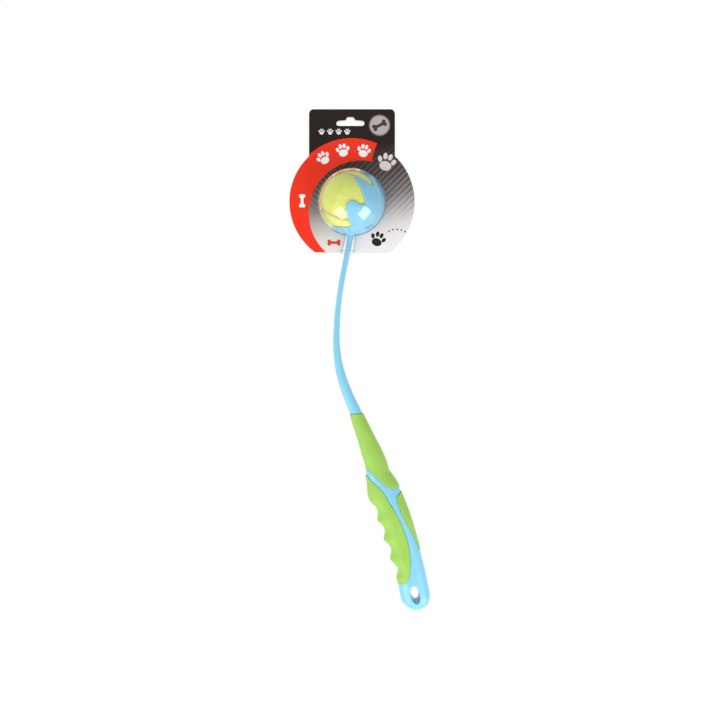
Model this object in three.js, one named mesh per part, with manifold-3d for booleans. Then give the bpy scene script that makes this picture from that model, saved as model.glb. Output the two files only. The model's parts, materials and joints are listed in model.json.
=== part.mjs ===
// Dog ball thrower, carded for sale: a one-piece moulded thrower with soft grips, a felt ball held
// in its fingered cup, and a two-sided display card with a clear dome on each face round the head.
// Millimetres. +Z is up, +X is to the right of the card's face, which looks along -Y.
// The origin is the middle of the handle, where the hand holds it.

import * as THREE from "three";
import { mergeVertices } from "three/addons/utils/BufferGeometryUtils.js";
import Module from "manifold-3d";

const wasm = await Module();
wasm.setup();

// Thrower: the moulding from the ball's centre down to the end of the handle
const reach = 430;
const neckTuck = 1.5;
const handleWidth = 33.8;
const handleDepth = 29;
const endRound = 16;
const clearance = 0.3;
const overrun = 6;

// Finger grooves down the front of the handle
const grooveDepth = 4.2;
const groovePitch = 21.1;
const grooveCount = 4;
const grooveStartShare = 0.7166;
const grooveSoftShare = 0.3;

// Soft grips, sunk in the moulding and standing a little proud of it
const gripProud = 0.7;
const gripDepth = 1.3;

// Lanyard hole near the end of the handle
const lanyardHoleLength = 18.9;
const lanyardHoleWidth = 9.3;
const lanyardHoleShare = 0.9567;

// Ball: two glued rubber halves under two felt panels and the rubber seam between them
const ballDiameter = 66;
const feltThickness = 2.2;
const feltGap = 0.5;
const coreWall = 3.3;
const seamWidth = 2.4;
const seamSink = 0.4;
const ballTurnDegrees = -48;
const ballNodDegrees = -17;
const ballRollDegrees = -67;

// Cup that holds the ball, open to the upper left and split into fingers
const cupClearance = 0.3;
const cupWall = 1.6;
const cupTiltDegrees = 30;

// Display card, in two printed layers with the blister flanges between them
const cardDiscRadius = 66;
const cardTop = 97.5;
const cardFoot = 53.3;
const headerWidth = 90.6;
const headerCorner = 5;
const cardThickness = 0.6;
const hangSlotWidth = 29.5;
const hangSlotHeight = 5.3;
const hangSlotDrop = 14.9;
const hangSlotShift = -1.7;
const hangHumpWidth = 9.5;
const hangHumpRise = 3.8;

// Clear blisters: a dome over the head, a channel along the neck and a flange
const blisterWall = 0.5;
const blisterClearance = 0.3;
const flangeWidth = 20.5;
const flangeFootGap = 2.5;
const channelTopWidth = 9.6;
const channelFootWidth = 12.6;
const channelDepth = 9.5;

const sphereSides = 32;
const ringPoints = 16;
const coreSides = 24;
const sectionSquareness = 0.86;

// The thrower's line. A row gives the share of the line below the ball's centre, the share of the
// line to the right, and the width and depth as shares of the handle's.
const throwerShares = [
  [0.074, -0.0036, 0.25, 0.63],
  [0.0933, -0.0052, 0.188, 0.45],
  [0.1337, -0.0132, 0.176, 0.41],
  [0.1926, -0.0245, 0.173, 0.39],
  [0.2515, -0.0331, 0.176, 0.385],
  [0.3104, -0.0375, 0.194, 0.385],
  [0.3497, -0.038, 0.215, 0.395],
  [0.389, -0.0342, 0.245, 0.41],
  [0.4282, -0.0255, 0.288, 0.44],
  [0.4675, -0.0121, 0.324, 0.475],
  [0.5067, 0.0052, 0.352, 0.51],
  [0.546, 0.0211, 0.436, 0.59],
  [0.5853, 0.0372, 0.521, 0.68],
  [0.6155, 0.0491, 0.609, 0.76],
  [0.6444, 0.0596, 0.652, 0.81],
  [0.6675, 0.0635, 0.745, 0.86],
  [0.6817, 0.0687, 0.836, 0.9],
  [0.7001, 0.0753, 0.97, 0.95],
  [0.7166, 0.0807, 0.997, 0.97],
  [0.7644, 0.0998, 1.003, 1],
  [0.8114, 0.1154, 0.991, 1],
  [0.8618, 0.1305, 0.955, 0.99],
  [0.9101, 0.1443, 0.91, 0.97],
  [0.948, 0.1517, 0.925, 0.95],
  [0.9767, 0.1575, 0.915, 0.93],
  [1, 0.1594, 0.9, 0.9],
];
const handShare = 0.8114;
const shoulderShare = 0.6;
const recessSpanShares = [0.47, 0.955];
const topShare = throwerShares[0][0];

// Edges of the soft grips: the share of the line, and the share of the half width to the right.
const upperGripTopShares = [
  [0.5128, -1.4],
  [0.5137, -1.1],
  [0.5178, -0.09],
  [0.5222, 1],
  [0.523, 1.4],
];
const upperGripFootShares = [
  [0.7102, 1.4],
  [0.7097, 1],
  [0.7071, 0.654],
  [0.6971, 0.314],
  [0.6802, 0.017],
  [0.6589, -0.484],
  [0.6515, -1.05],
  [0.6495, -1.4],
];
const fingerGripEdgeShares = [
  [0.659, -1.4],
  [0.6625, -1],
  [0.67, -0.72],
  [0.684, -0.4],
  [0.7059, -0.05],
  [0.7346, 0.086],
  [0.7627, 0.208],
  [0.7889, 0.3],
  [0.8149, 0.345],
  [0.8418, 0.33],
  [0.8736, 0.206],
  [0.9, -0.037],
  [0.9155, -0.24],
  [0.925, -0.595],
  [0.9245, -1],
  [0.9235, -1.4],
];
const palmGripEdgeShares = [
  [0.7195, 1.4],
  [0.7225, 0.97],
  [0.7285, 0.67],
  [0.7385, 0.55],
  [0.7624, 0.517],
  [0.7898, 0.61],
  [0.818, 0.79],
  [0.8432, 0.9],
  [0.8625, 1.02],
  [0.875, 1.4],
];

// The cup's rim on one side, from the top finger round to the lip below: degrees round the opening's
// axis, and degrees away from that axis. The other side is its mirror image.
const rimDegrees = [
  [0, 74],
  [17, 75.5],
  [28, 79],
  [33, 86],
  [36, 96],
  [40, 106],
  [45, 111],
  [50, 107],
  [52.5, 97],
  [54, 84],
  [58, 76.5],
  [63, 82.5],
  [68, 94],
  [78, 105.5],
  [85, 113.5],
  [90.5, 117],
  [94.5, 111],
  [95, 101.5],
  [97, 93.5],
  [104, 89.5],
  [112, 90.8],
  [118, 94.2],
  [127, 103],
  [137, 110],
  [144, 112.5],
  [151, 105],
  [156, 95.5],
  [166, 86],
  [180, 82],
];

const ballRadius = ballDiameter / 2;
const cupInner = ballRadius + cupClearance;
const cupOuter = cupInner + cupWall;
const domeInner = cupOuter + blisterClearance;
const domeOuter = domeInner + blisterWall;
const flangeRadius = domeOuter + flangeWidth;

// The line starts in the cup's wall and ends at the reach, whatever the size of the ball.
const neckDrop = cupInner - neckTuck;
const lineLength = (reach - neckDrop) / (1 - topShare);

// A closed solid from corner points and triangles, turned to face out.
function solidFromFaces(points, triangles) {
  let sixVolumes = 0;
  const normal = new THREE.Vector3();
  for (const [a, b, c] of triangles) {
    sixVolumes += normal.crossVectors(points[a], points[b]).dot(points[c]);
  }
  const faces = triangles.map(([a, b, c]) => (sixVolumes < 0 ? [a, c, b] : [a, b, c]));
  return new wasm.Manifold(
    new wasm.Mesh({
      numProp: 3,
      vertProperties: new Float32Array(points.flatMap((p) => p.toArray())),
      triVerts: new Uint32Array(faces.flat()),
    }),
  );
}

function solidFromGeometry(geometry) {
  const bare = new THREE.BufferGeometry();
  bare.setAttribute("position", geometry.getAttribute("position"));
  bare.setIndex(geometry.index);
  const merged = mergeVertices(bare);
  const place = merged.getAttribute("position");
  const points = [];
  for (let i = 0; i < place.count; i++) {
    points.push(new THREE.Vector3().fromBufferAttribute(place, i));
  }
  const triangles = [];
  for (let i = 0; i < merged.index.count; i += 3) {
    const [a, b, c] = [0, 1, 2].map((step) => merged.index.getX(i + step));
    if (a !== b && b !== c && c !== a) triangles.push([a, b, c]);
  }
  return solidFromFaces(points, triangles);
}

function geometryFromSolid(solid) {
  const mesh = solid.getMesh();
  const geometry = new THREE.BufferGeometry();
  geometry.setAttribute("position", new THREE.BufferAttribute(mesh.vertProperties, 3));
  geometry.setIndex(new THREE.BufferAttribute(mesh.triVerts, 1));
  geometry.computeVertexNormals();
  return geometry;
}

// A solid through rings of points. A ring of one point is a pole; the others have equal counts.
function loft(rings, closed = false) {
  const starts = [];
  const points = [];
  for (const ring of rings) {
    starts.push(points.length);
    points.push(...ring);
  }
  const triangles = [];
  const last = closed ? rings.length : rings.length - 1;
  for (let i = 0; i < last; i++) {
    const j = (i + 1) % rings.length;
    const around = Math.max(rings[i].length, rings[j].length);
    for (let k = 0; k < around; k++) {
      const next = (k + 1) % around;
      if (rings[i].length > 1) {
        triangles.push([starts[i] + k, starts[i] + next, starts[j] + (rings[j].length > 1 ? next : 0)]);
      }
      if (rings[j].length > 1) {
        triangles.push([starts[i] + (rings[i].length > 1 ? k : 0), starts[j] + next, starts[j] + k]);
      }
    }
  }
  return solidFromFaces(points, triangles);
}

function middleOf(ring) {
  const middle = new THREE.Vector3();
  ring.forEach((p) => middle.add(p));
  return middle.divideScalar(ring.length);
}

// A plate with the given outline of [x, z] points, between two places along Y.
function prism(outline, lowY, highY) {
  const shape = new THREE.Shape(outline.map(([x, z]) => new THREE.Vector2(x, z)));
  const geometry = new THREE.ExtrudeGeometry(shape, { depth: highY - lowY, bevelEnabled: false });
  geometry.rotateX(Math.PI / 2);
  geometry.translate(0, highY, 0);
  return solidFromGeometry(geometry);
}

function sphere(radius) {
  return solidFromGeometry(new THREE.SphereGeometry(radius, sphereSides, sphereSides / 2));
}

function steps(count) {
  return Array.from({ length: count }, (_, i) => i / (count - 1));
}

function arc(x, z, radius, fromDegrees, toDegrees, count) {
  return steps(count).map((t) => {
    const angle = THREE.MathUtils.degToRad(THREE.MathUtils.lerp(fromDegrees, toDegrees, t));
    return [x + radius * Math.cos(angle), z + radius * Math.sin(angle)];
  });
}

// A smooth line through [a, b] pairs.
function smooth(pairs, count) {
  const curve = new THREE.CatmullRomCurve3(
    pairs.map(([a, b]) => new THREE.Vector3(a, b, 0)),
    false,
    "catmullrom",
    0.5,
  );
  return curve.getPoints(count - 1).map((p) => [p.x, p.y]);
}

// The thrower's line at a share of its length: its place, width and depth.
const throwerLine = new THREE.CubicInterpolant(
  throwerShares.map((row) => row[0]),
  throwerShares.flatMap((row) => row.slice(1)),
  3,
);

function centreAt(share) {
  const [right] = throwerLine.evaluate(share);
  return new THREE.Vector2(right * lineLength, (topShare - share) * lineLength - neckDrop);
}

function shareAt(drop) {
  return topShare + (drop - neckDrop) / lineLength;
}

// To the right, square to the line.
function acrossAt(share) {
  const small = 0.002;
  const ahead = centreAt(Math.min(share + small, 1));
  const behind = centreAt(Math.max(share - small, topShare));
  const along = ahead.sub(behind).normalize();
  return new THREE.Vector2(-along.y, along.x);
}

function halfSizesAt(share) {
  const [, width, depth] = throwerLine.evaluate(share);
  const intoEnd = Math.max(0, 1 - (1 - share) * (lineLength / endRound));
  const round = Math.sqrt(Math.max(0, 1 - intoEnd * intoEnd));
  return [(width * handleWidth * round) / 2, (depth * handleDepth * round) / 2];
}

// How far the finger grooves cut into the left side: round hollows with softened crests.
function grooveAt(share) {
  const fingers = ((share - grooveStartShare) * lineLength) / groovePitch;
  if (fingers <= 0 || fingers >= grooveCount) return 0;
  const wave = Math.hypot(Math.sin(Math.PI * fingers), grooveSoftShare) - grooveSoftShare;
  return (grooveDepth * wave) / (Math.hypot(1, grooveSoftShare) - grooveSoftShare);
}

// One section of the thrower, drawn in by an inset.
function sectionAt(share, inset) {
  const centre = centreAt(share);
  const across = acrossAt(share);
  const [halfWidth, halfDepth] = halfSizesAt(share);
  const ring = [];
  for (let i = 0; i < ringPoints; i++) {
    const angle = (2 * Math.PI * i) / ringPoints;
    const squared = (value) => Math.sign(value) * Math.abs(value) ** sectionSquareness;
    const groove = Math.cos(angle) < 0 ? grooveAt(share) : 0;
    const out = (halfWidth - inset - groove) * squared(Math.cos(angle));
    const deep = (halfDepth - inset) * squared(Math.sin(angle));
    ring.push(new THREE.Vector3(centre.x + across.x * out, deep, centre.y + across.y * out));
  }
  return ring;
}

// Shares at which the thrower has a section: fine over the grooves, finer towards the round end.
const grooveEndShare = grooveStartShare + (grooveCount * groovePitch) / lineLength;
const endStartShare = 1 - endRound / lineLength;
const stopsBetween = (from, to, count) =>
  steps(count + 1)
    .slice(1)
    .map((t) => THREE.MathUtils.lerp(from, to, t));
const throwerStops = [
  topShare,
  ...stopsBetween(topShare, shoulderShare, 15),
  ...stopsBetween(shoulderShare, grooveStartShare, 8),
  ...stopsBetween(grooveStartShare, grooveEndShare, 6 * grooveCount),
  ...stopsBetween(grooveEndShare, endStartShare, 3),
  ...steps(8)
    .slice(1, -1)
    .map((t) => THREE.MathUtils.lerp(endStartShare, 1, Math.sin((t * Math.PI) / 2))),
];

// The thrower's skin between two shares, drawn in by an inset. Its round end closes in a point.
function throwerSkin(inset, from, to) {
  const rings = throwerStops
    .filter((share) => share >= from && share <= to)
    .map((share) => sectionAt(share, inset));
  const tip = centreAt(1);
  const first = [middleOf(rings[0])];
  const last = to < 1 ? [middleOf(rings[rings.length - 1])] : [new THREE.Vector3(tip.x, 0, tip.y)];
  return loft([first, ...rings, last]);
}

// A point of the handle's face from its shares along and across.
function onHandle([share, acrossShare]) {
  const [halfWidth] = halfSizesAt(share);
  const place = centreAt(share).addScaledVector(acrossAt(share), acrossShare * halfWidth);
  return [place.x, place.y];
}

// An outline drawn in by a distance, square to its own line.
function drawnIn(outline, distance) {
  const area = outline.reduce((sum, [x, z], i) => {
    const [nextX, nextZ] = outline[(i + 1) % outline.length];
    return sum + x * nextZ - nextX * z;
  }, 0);
  return outline.map(([x, z], i) => {
    const [beforeX, beforeZ] = outline[(i + outline.length - 1) % outline.length];
    const [afterX, afterZ] = outline[(i + 1) % outline.length];
    const along = new THREE.Vector2(afterX - beforeX, afterZ - beforeZ).normalize();
    const side = Math.sign(area) * distance;
    return [x - along.y * side, z + along.x * side];
  });
}

// A grip's outline: its edges across the handle, joined by runs beside the handle and clear of it.
function gripOutline(...edges) {
  const outline = [];
  edges.forEach((edge, i) => {
    const [from, beside] = edge[edge.length - 1];
    const [to] = edges[(i + 1) % edges.length][0];
    outline.push(...smooth(edge, 2 * edge.length));
    for (const t of steps(9).slice(1, -1)) {
      outline.push([THREE.MathUtils.lerp(from, to, t), beside]);
    }
  });
  return outline.map(onHandle);
}

const gripOutlines = {
  upper_grip: gripOutline(upperGripTopShares, upperGripFootShares),
  finger_grip: gripOutline(fingerGripEdgeShares),
  palm_grip: gripOutline(palmGripEdgeShares),
};

const gripReachY = handleDepth / 2 + overrun;
const gripSkin = throwerSkin(-gripProud, ...recessSpanShares);
const gripInside = throwerSkin(gripDepth - clearance, ...recessSpanShares);
const recessFloor = throwerSkin(gripDepth, ...recessSpanShares);

function grip(name) {
  const outline = drawnIn(gripOutlines[name], clearance);
  return prism(outline, -gripReachY, gripReachY).intersect(gripSkin).subtract(gripInside);
}

// The space that the cup leaves open, as a solid of straight rays from the ball's centre.
function cupOpening() {
  const tilt = THREE.MathUtils.degToRad(cupTiltDegrees);
  const axis = new THREE.Vector3(-Math.cos(tilt), 0, Math.sin(tilt));
  const top = new THREE.Vector3(Math.sin(tilt), 0, Math.cos(tilt));
  const near = new THREE.Vector3(0, -1, 0);
  const farOut = 2 * cupOuter;
  const side = smooth(rimDegrees, 54);
  const mirrored = side.slice(1, -1).reverse().map(([around, away]) => [-around, away]);
  const rim = [...side, ...mirrored];
  const ringAt = (part) =>
    rim.map(([around, away]) => {
      const turn = THREE.MathUtils.degToRad(around);
      const open = THREE.MathUtils.degToRad(away * part);
      return new THREE.Vector3()
        .addScaledVector(axis, Math.cos(open))
        .addScaledVector(top, Math.sin(open) * Math.cos(turn))
        .addScaledVector(near, Math.sin(open) * Math.sin(turn))
        .multiplyScalar(farOut);
    });
  const centre = [new THREE.Vector3()];
  const pole = [axis.clone().multiplyScalar(farOut)];
  return loft([centre, ringAt(1), ringAt(2 / 3), ringAt(1 / 3), pole]);
}

function lanyardHole() {
  const centre = centreAt(lanyardHoleShare);
  const across = acrossAt(lanyardHoleShare);
  const along = new THREE.Vector2(-across.y, across.x);
  const outline = [];
  for (let i = 0; i < ringPoints; i++) {
    const angle = (2 * Math.PI * i) / ringPoints;
    const place = centre
      .clone()
      .addScaledVector(across, (lanyardHoleWidth / 2) * Math.cos(angle))
      .addScaledVector(along, (lanyardHoleLength / 2) * Math.sin(angle));
    outline.push([place.x, place.y]);
  }
  return prism(outline, -gripReachY, gripReachY);
}

function throwerBody() {
  let body = sphere(cupOuter).add(throwerSkin(0, topShare, 1));
  body = body.subtract(cupOpening()).subtract(sphere(cupInner));
  for (const outline of Object.values(gripOutlines)) {
    body = body.subtract(prism(outline, -gripReachY, gripReachY).subtract(recessFloor));
  }
  return body.subtract(lanyardHole());
}

// Ball: one half of the rubber core, a hollow bowl that meets the other half at the joint.
function ballCoreHalf() {
  const outer = ballRadius - feltThickness - feltGap;
  const inner = outer - coreWall;
  const lift = clearance / 2;
  const wall = (radius, t) => {
    const angle = THREE.MathUtils.lerp(Math.PI / 2, Math.asin(lift / radius), t);
    return new THREE.Vector2(radius * Math.cos(angle), radius * Math.sin(angle));
  };
  const outside = steps(7).map((t) => wall(outer, t));
  const inside = steps(5).map((t) => wall(inner, 1 - t));
  outside[0].x = 0;
  inside[inside.length - 1].x = 0;
  return solidFromGeometry(new THREE.LatheGeometry([...outside, ...inside].reverse(), coreSides));
}

// The seam's line on a ball of radius 1.
const seamLongShare = 0.75;
const seamShortShare = 1 - seamLongShare;

function seamAt(turn) {
  return new THREE.Vector3(
    seamLongShare * Math.cos(turn) + seamShortShare * Math.cos(3 * turn),
    seamLongShare * Math.sin(turn) - seamShortShare * Math.sin(3 * turn),
    2 * Math.sqrt(seamLongShare * seamShortShare) * Math.sin(2 * turn),
  );
}

// Along the ball's surface, square to the seam and towards the first panel.
function seamSideAt(turn) {
  const small = 0.001;
  const along = seamAt(turn + small).sub(seamAt(turn - small)).normalize();
  return seamAt(turn).cross(along).normalize();
}

// One felt panel: a dog-bone laid round the ball, in rows across from seam to seam.
function feltPanel() {
  const rows = 26;
  const columns = 7;
  const outer = ballRadius;
  const inner = ballRadius - feltThickness;
  const edge = (seamWidth / 2 + clearance) / ballRadius;
  const edgeAt = (turn) =>
    seamAt(turn)
      .multiplyScalar(Math.cos(edge))
      .addScaledVector(seamSideAt(turn), Math.sin(edge));
  const points = [];
  const rowStarts = [];
  for (let row = 0; row <= rows; row++) {
    const turn = THREE.MathUtils.lerp((3 * Math.PI) / 4, -Math.PI / 4, row / rows);
    const left = edgeAt(turn);
    const right = edgeAt((3 * Math.PI) / 2 - turn);
    const pole = row === 0 || row === rows;
    rowStarts.push(points.length);
    for (let column = 0; column <= (pole ? 0 : columns); column++) {
      const angle = left.angleTo(right);
      const share = pole ? 0 : column / columns;
      const place = pole
        ? left.clone()
        : left
            .clone()
            .multiplyScalar(Math.sin((1 - share) * angle))
            .addScaledVector(right, Math.sin(share * angle));
      points.push(place.normalize());
    }
  }
  const count = points.length;
  const skin = [];
  for (let row = 0; row < rows; row++) {
    const here = rowStarts[row];
    const next = rowStarts[row + 1];
    for (let column = 0; column < columns; column++) {
      const a = row === 0 ? here : here + column;
      const b = row === 0 ? here : here + column + 1;
      const c = row === rows - 1 ? next : next + column + 1;
      const d = row === rows - 1 ? next : next + column;
      if (a !== b) skin.push([a, b, c]);
      if (c !== d) skin.push([a, c, d]);
    }
  }
  const rim = [];
  for (let row = 0; row < rows; row++) {
    const last = (index) => (index === 0 || index === rows ? 0 : columns);
    rim.push([rowStarts[row], rowStarts[row + 1]]);
    rim.push([rowStarts[row + 1] + last(row + 1), rowStarts[row] + last(row)]);
  }
  const triangles = [];
  skin.forEach(([a, b, c]) => triangles.push([a, b, c], [a + count, c + count, b + count]));
  rim.forEach(([a, b]) => triangles.push([a, b, b + count], [a, b + count, a + count]));
  return solidFromFaces(
    [
      ...points.map((p) => p.clone().multiplyScalar(outer)),
      ...points.map((p) => p.clone().multiplyScalar(inner)),
    ],
    triangles,
  );
}

function ballSeam() {
  const inner = ballRadius - feltThickness;
  const outer = ballRadius - seamSink;
  const rings = steps(57)
    .slice(1)
    .map((t) => {
      const turn = 2 * Math.PI * t;
      const corner = (radius, side) =>
        seamAt(turn)
          .multiplyScalar(radius)
          .addScaledVector(seamSideAt(turn), (side * seamWidth) / 2);
      return [corner(inner, -1), corner(inner, 1), corner(outer, 1), corner(outer, -1)];
    });
  return loft(rings, true);
}

// The neck's channel as [x, z] points: it follows the thrower's line down past the card's foot.
function channelOutline(grow, overFoot) {
  const topDrop = domeInner - overrun;
  const stops = steps(6).map((t) => THREE.MathUtils.lerp(topDrop, cardFoot + overFoot, t));
  const sideAt = (drop, side) => {
    const width = THREE.MathUtils.mapLinear(
      drop,
      domeOuter,
      cardFoot,
      channelTopWidth,
      channelFootWidth,
    );
    return [centreAt(shareAt(drop)).x + side * (width / 2 + grow), -drop];
  };
  const left = stops.map((drop) => sideAt(drop, -1));
  const right = stops.map((drop) => sideAt(drop, 1)).reverse();
  return [...left, ...right];
}

// A disc round the ball's centre, cut off flat below.
function footedDisc(radius, foot) {
  const cut = THREE.MathUtils.radToDeg(Math.asin(Math.min(foot / radius, 1)));
  return arc(0, 0, radius, -cut, 180 + cut, 40);
}

// Places along Y of the layers on one side of the middle plane.
const flangeNear = clearance / 2;
const flangeFar = flangeNear + blisterWall;
const cardNear = flangeFar + clearance;
const cardFar = cardNear + cardThickness;

function layer(outline, near, far, side) {
  return side < 0 ? prism(outline, -far, -near) : prism(outline, near, far);
}

// One clear blister: the front one has side -1, the rear one side 1.
function blister(side) {
  const outer = sphere(domeOuter).add(layer(channelOutline(blisterWall, 0), 0, channelDepth, side));
  const inner = sphere(domeInner).add(
    layer(channelOutline(0, overrun), -overrun, channelDepth - blisterWall, side),
  );
  const flange = layer(footedDisc(flangeRadius, cardFoot - flangeFootGap), flangeNear, flangeFar, side);
  const halfSpace = layer(footedDisc(2 * domeOuter, cardFoot), flangeNear, domeOuter + overrun, side);
  return outer.intersect(halfSpace).add(flange).subtract(inner);
}

// The card's outer edge, clockwise from the left end of its foot.
function cardEdge() {
  const half = headerWidth / 2;
  const shoulder = THREE.MathUtils.radToDeg(Math.acos(half / cardDiscRadius));
  const foot = THREE.MathUtils.radToDeg(Math.asin(cardFoot / cardDiscRadius));
  const cornerX = half - headerCorner;
  const cornerZ = cardTop - headerCorner;
  return [
    ...arc(0, 0, cardDiscRadius, 180 + foot, 180 - shoulder, 22),
    ...arc(-cornerX, cornerZ, headerCorner, 180, 90, 6),
    ...arc(cornerX, cornerZ, headerCorner, 90, 0, 6),
    ...arc(0, 0, cardDiscRadius, shoulder, -foot, 22),
  ];
}

// The slot that a shop hook goes through, with a round hump over its middle.
function hangSlot() {
  const round = hangSlotHeight / 2;
  const z = cardTop - hangSlotDrop;
  const end = hangSlotWidth / 2 - round;
  const hump = hangHumpWidth / 2;
  const humpTop = z + round + hangHumpRise;
  const outline = [
    ...arc(end, z, round, -90, 90, 9),
    [hump, z + round],
    ...arc(0, z + round, hump, 20, 160, 9).map(([x, top]) => [x, Math.min(top, humpTop)]),
    [-hump, z + round],
    ...arc(-end, z, round, 90, 270, 9),
  ];
  return outline.map(([x, height]) => [x + hangSlotShift, height]);
}

// One printed layer of the card, with the keyhole that the dome and the channel come through.
function card(side) {
  const through = (outline) => layer(outline, cardNear - overrun, cardFar + overrun, side);
  return layer(cardEdge(), cardNear, cardFar, side)
    .subtract(through(arc(0, 0, domeOuter + clearance, 0, 360, 49).slice(1)))
    .subtract(through(channelOutline(blisterWall + clearance, overrun)))
    .subtract(through(hangSlot()));
}

const bluePlastic = new THREE.MeshStandardMaterial({ color: "#8fd2ee", roughness: 0.38 });
const softGreen = new THREE.MeshStandardMaterial({ color: "#a9db5c", roughness: 0.75 });
const felt = new THREE.MeshStandardMaterial({ color: "#dde36f", roughness: 0.95 });
const coreRubber = new THREE.MeshStandardMaterial({ color: "#4a4640", roughness: 0.7 });
const seamRubber = new THREE.MeshStandardMaterial({ color: "#d9d3bd", roughness: 0.7 });
const printedCard = new THREE.MeshStandardMaterial({ color: "#d23a2a", roughness: 0.45 });
const clearPlastic = new THREE.MeshStandardMaterial({
  color: "#f4f7f8",
  roughness: 0.08,
  transparent: true,
  opacity: 0.3,
});

function piece(name, solid, material) {
  const mesh = new THREE.Mesh(geometryFromSolid(solid), material);
  mesh.name = name;
  return mesh;
}

const thrower = new THREE.Group();
thrower.add(
  piece("thrower_body", throwerBody(), bluePlastic),
  ...Object.keys(gripOutlines).map((name) => piece(name, grip(name), softGreen)),
);

const ball = new THREE.Group();
const coreHalf = ballCoreHalf();
const panel = feltPanel();
const coreTop = piece("ball_core_half_a", coreHalf, coreRubber);
const coreBottom = piece("ball_core_half_b", coreHalf, coreRubber);
const panelA = piece("felt_panel_a", panel, felt);
const panelB = piece("felt_panel_b", panel, felt);
coreBottom.rotation.x = Math.PI;
panelB.rotation.x = Math.PI;
ball.add(coreTop, coreBottom, panelA, panelB, piece("ball_seam", ballSeam(), seamRubber));
// The ball lies with the round end of one felt panel to the front, and the seam above and below it.
ball.rotation.set(
  ...[ballNodDegrees, ballRollDegrees, ballTurnDegrees].map(THREE.MathUtils.degToRad),
  "YXZ",
);

const pack = new THREE.Group();
pack.add(
  piece("front_card", card(-1), printedCard),
  piece("front_blister", blister(-1), clearPlastic),
  piece("back_card", card(1), printedCard),
  piece("rear_blister", blister(1), clearPlastic),
);

// Everything is drawn round the ball's centre, then moved so that the hand's place is the origin.
const hand = centreAt(handShare);
const model = new THREE.Group();
model.position.set(-hand.x, 0, -hand.y);
model.add(thrower, ball, pack);

const root = new THREE.Group();
root.add(model);

export default root;
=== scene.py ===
import json
import math
import bpy
import numpy as np
from mathutils import Matrix, Quaternion, Vector, noise


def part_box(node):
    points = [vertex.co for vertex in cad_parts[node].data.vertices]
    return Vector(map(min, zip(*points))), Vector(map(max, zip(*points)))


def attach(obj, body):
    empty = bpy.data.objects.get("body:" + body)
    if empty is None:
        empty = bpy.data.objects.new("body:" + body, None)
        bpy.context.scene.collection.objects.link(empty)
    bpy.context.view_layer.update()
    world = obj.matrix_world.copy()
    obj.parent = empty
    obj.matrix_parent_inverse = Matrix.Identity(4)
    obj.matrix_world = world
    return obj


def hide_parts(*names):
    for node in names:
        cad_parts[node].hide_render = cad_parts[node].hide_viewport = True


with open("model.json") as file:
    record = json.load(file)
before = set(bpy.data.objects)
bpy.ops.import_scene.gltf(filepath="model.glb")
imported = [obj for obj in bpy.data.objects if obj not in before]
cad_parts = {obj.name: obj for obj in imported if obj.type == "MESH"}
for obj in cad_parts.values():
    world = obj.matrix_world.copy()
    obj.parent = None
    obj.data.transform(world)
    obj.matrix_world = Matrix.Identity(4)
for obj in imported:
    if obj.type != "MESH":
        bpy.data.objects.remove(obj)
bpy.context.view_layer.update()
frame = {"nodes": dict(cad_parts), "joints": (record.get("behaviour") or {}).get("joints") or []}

# Dog ball thrower on its display card. Metres, in the row frame: the hand's place is the origin.
# Most shapes are fields round the ball's centre, below 0 inside the piece, and a skin is laid on 0.
MM = 0.001
ball_joint = next(joint for joint in frame["joints"] if joint["name"] == "ball_spin")
BALL = np.array(ball_joint["pos_m"])

# Thrower, from the ball's centre down to the end of the handle
REACH = 430 * MM
NECK_TUCK = 1.5 * MM
HANDLE_WIDTH = 33.8 * MM
HANDLE_DEPTH = 29 * MM
END_ROUND = 16 * MM
END_TRIM = 0.1 * MM
CLEARANCE = 0.3 * MM
SECTION_SQUARENESS = 0.86

GROOVE_DEPTH = 4.2 * MM
GROOVE_PITCH = 21.1 * MM
GROOVE_COUNT = 4
GROOVE_START_SHARE = 0.7166
GROOVE_SOFT_SHARE = 0.3

GRIP_PROUD = 0.7 * MM
GRIP_DEPTH = 1.3 * MM
GRIP_ROUND = 0.9 * MM
GRIP_GAP = 0.04 * MM
RECESS_ROUND = 0.4 * MM
HOLE_LENGTH = 18.9 * MM
HOLE_WIDTH = 9.3 * MM
HOLE_SHARE = 0.9567
HOLE_ROUND = 1.6 * MM

# Cup and ball
BALL_RADIUS = 33 * MM
FELT_THICKNESS = 2.2 * MM
FELT_ROUND = 0.9 * MM
SEAM_WIDTH = 2.4 * MM
SEAM_SINK = 0.4 * MM
# The seam's line is made of two waves, of these shares of the ball's radius.
SEAM_LONG_SHARE = 0.75
SEAM_SHORT_SHARE = 0.25
BALL_TURN = np.array(
    Matrix.Rotation(math.radians(-67), 3, "Y")
    @ Matrix.Rotation(math.radians(-17), 3, "X")
    @ Matrix.Rotation(math.radians(-48), 3, "Z")
)
CUP_WALL = 1.6 * MM
CUP_INNER = BALL_RADIUS + CLEARANCE
CUP_OUTER = CUP_INNER + CUP_WALL
CUP_TILT = math.radians(30)
RIM_ROUND = 1 * MM
NECK_FILLET = 2 * MM

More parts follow.
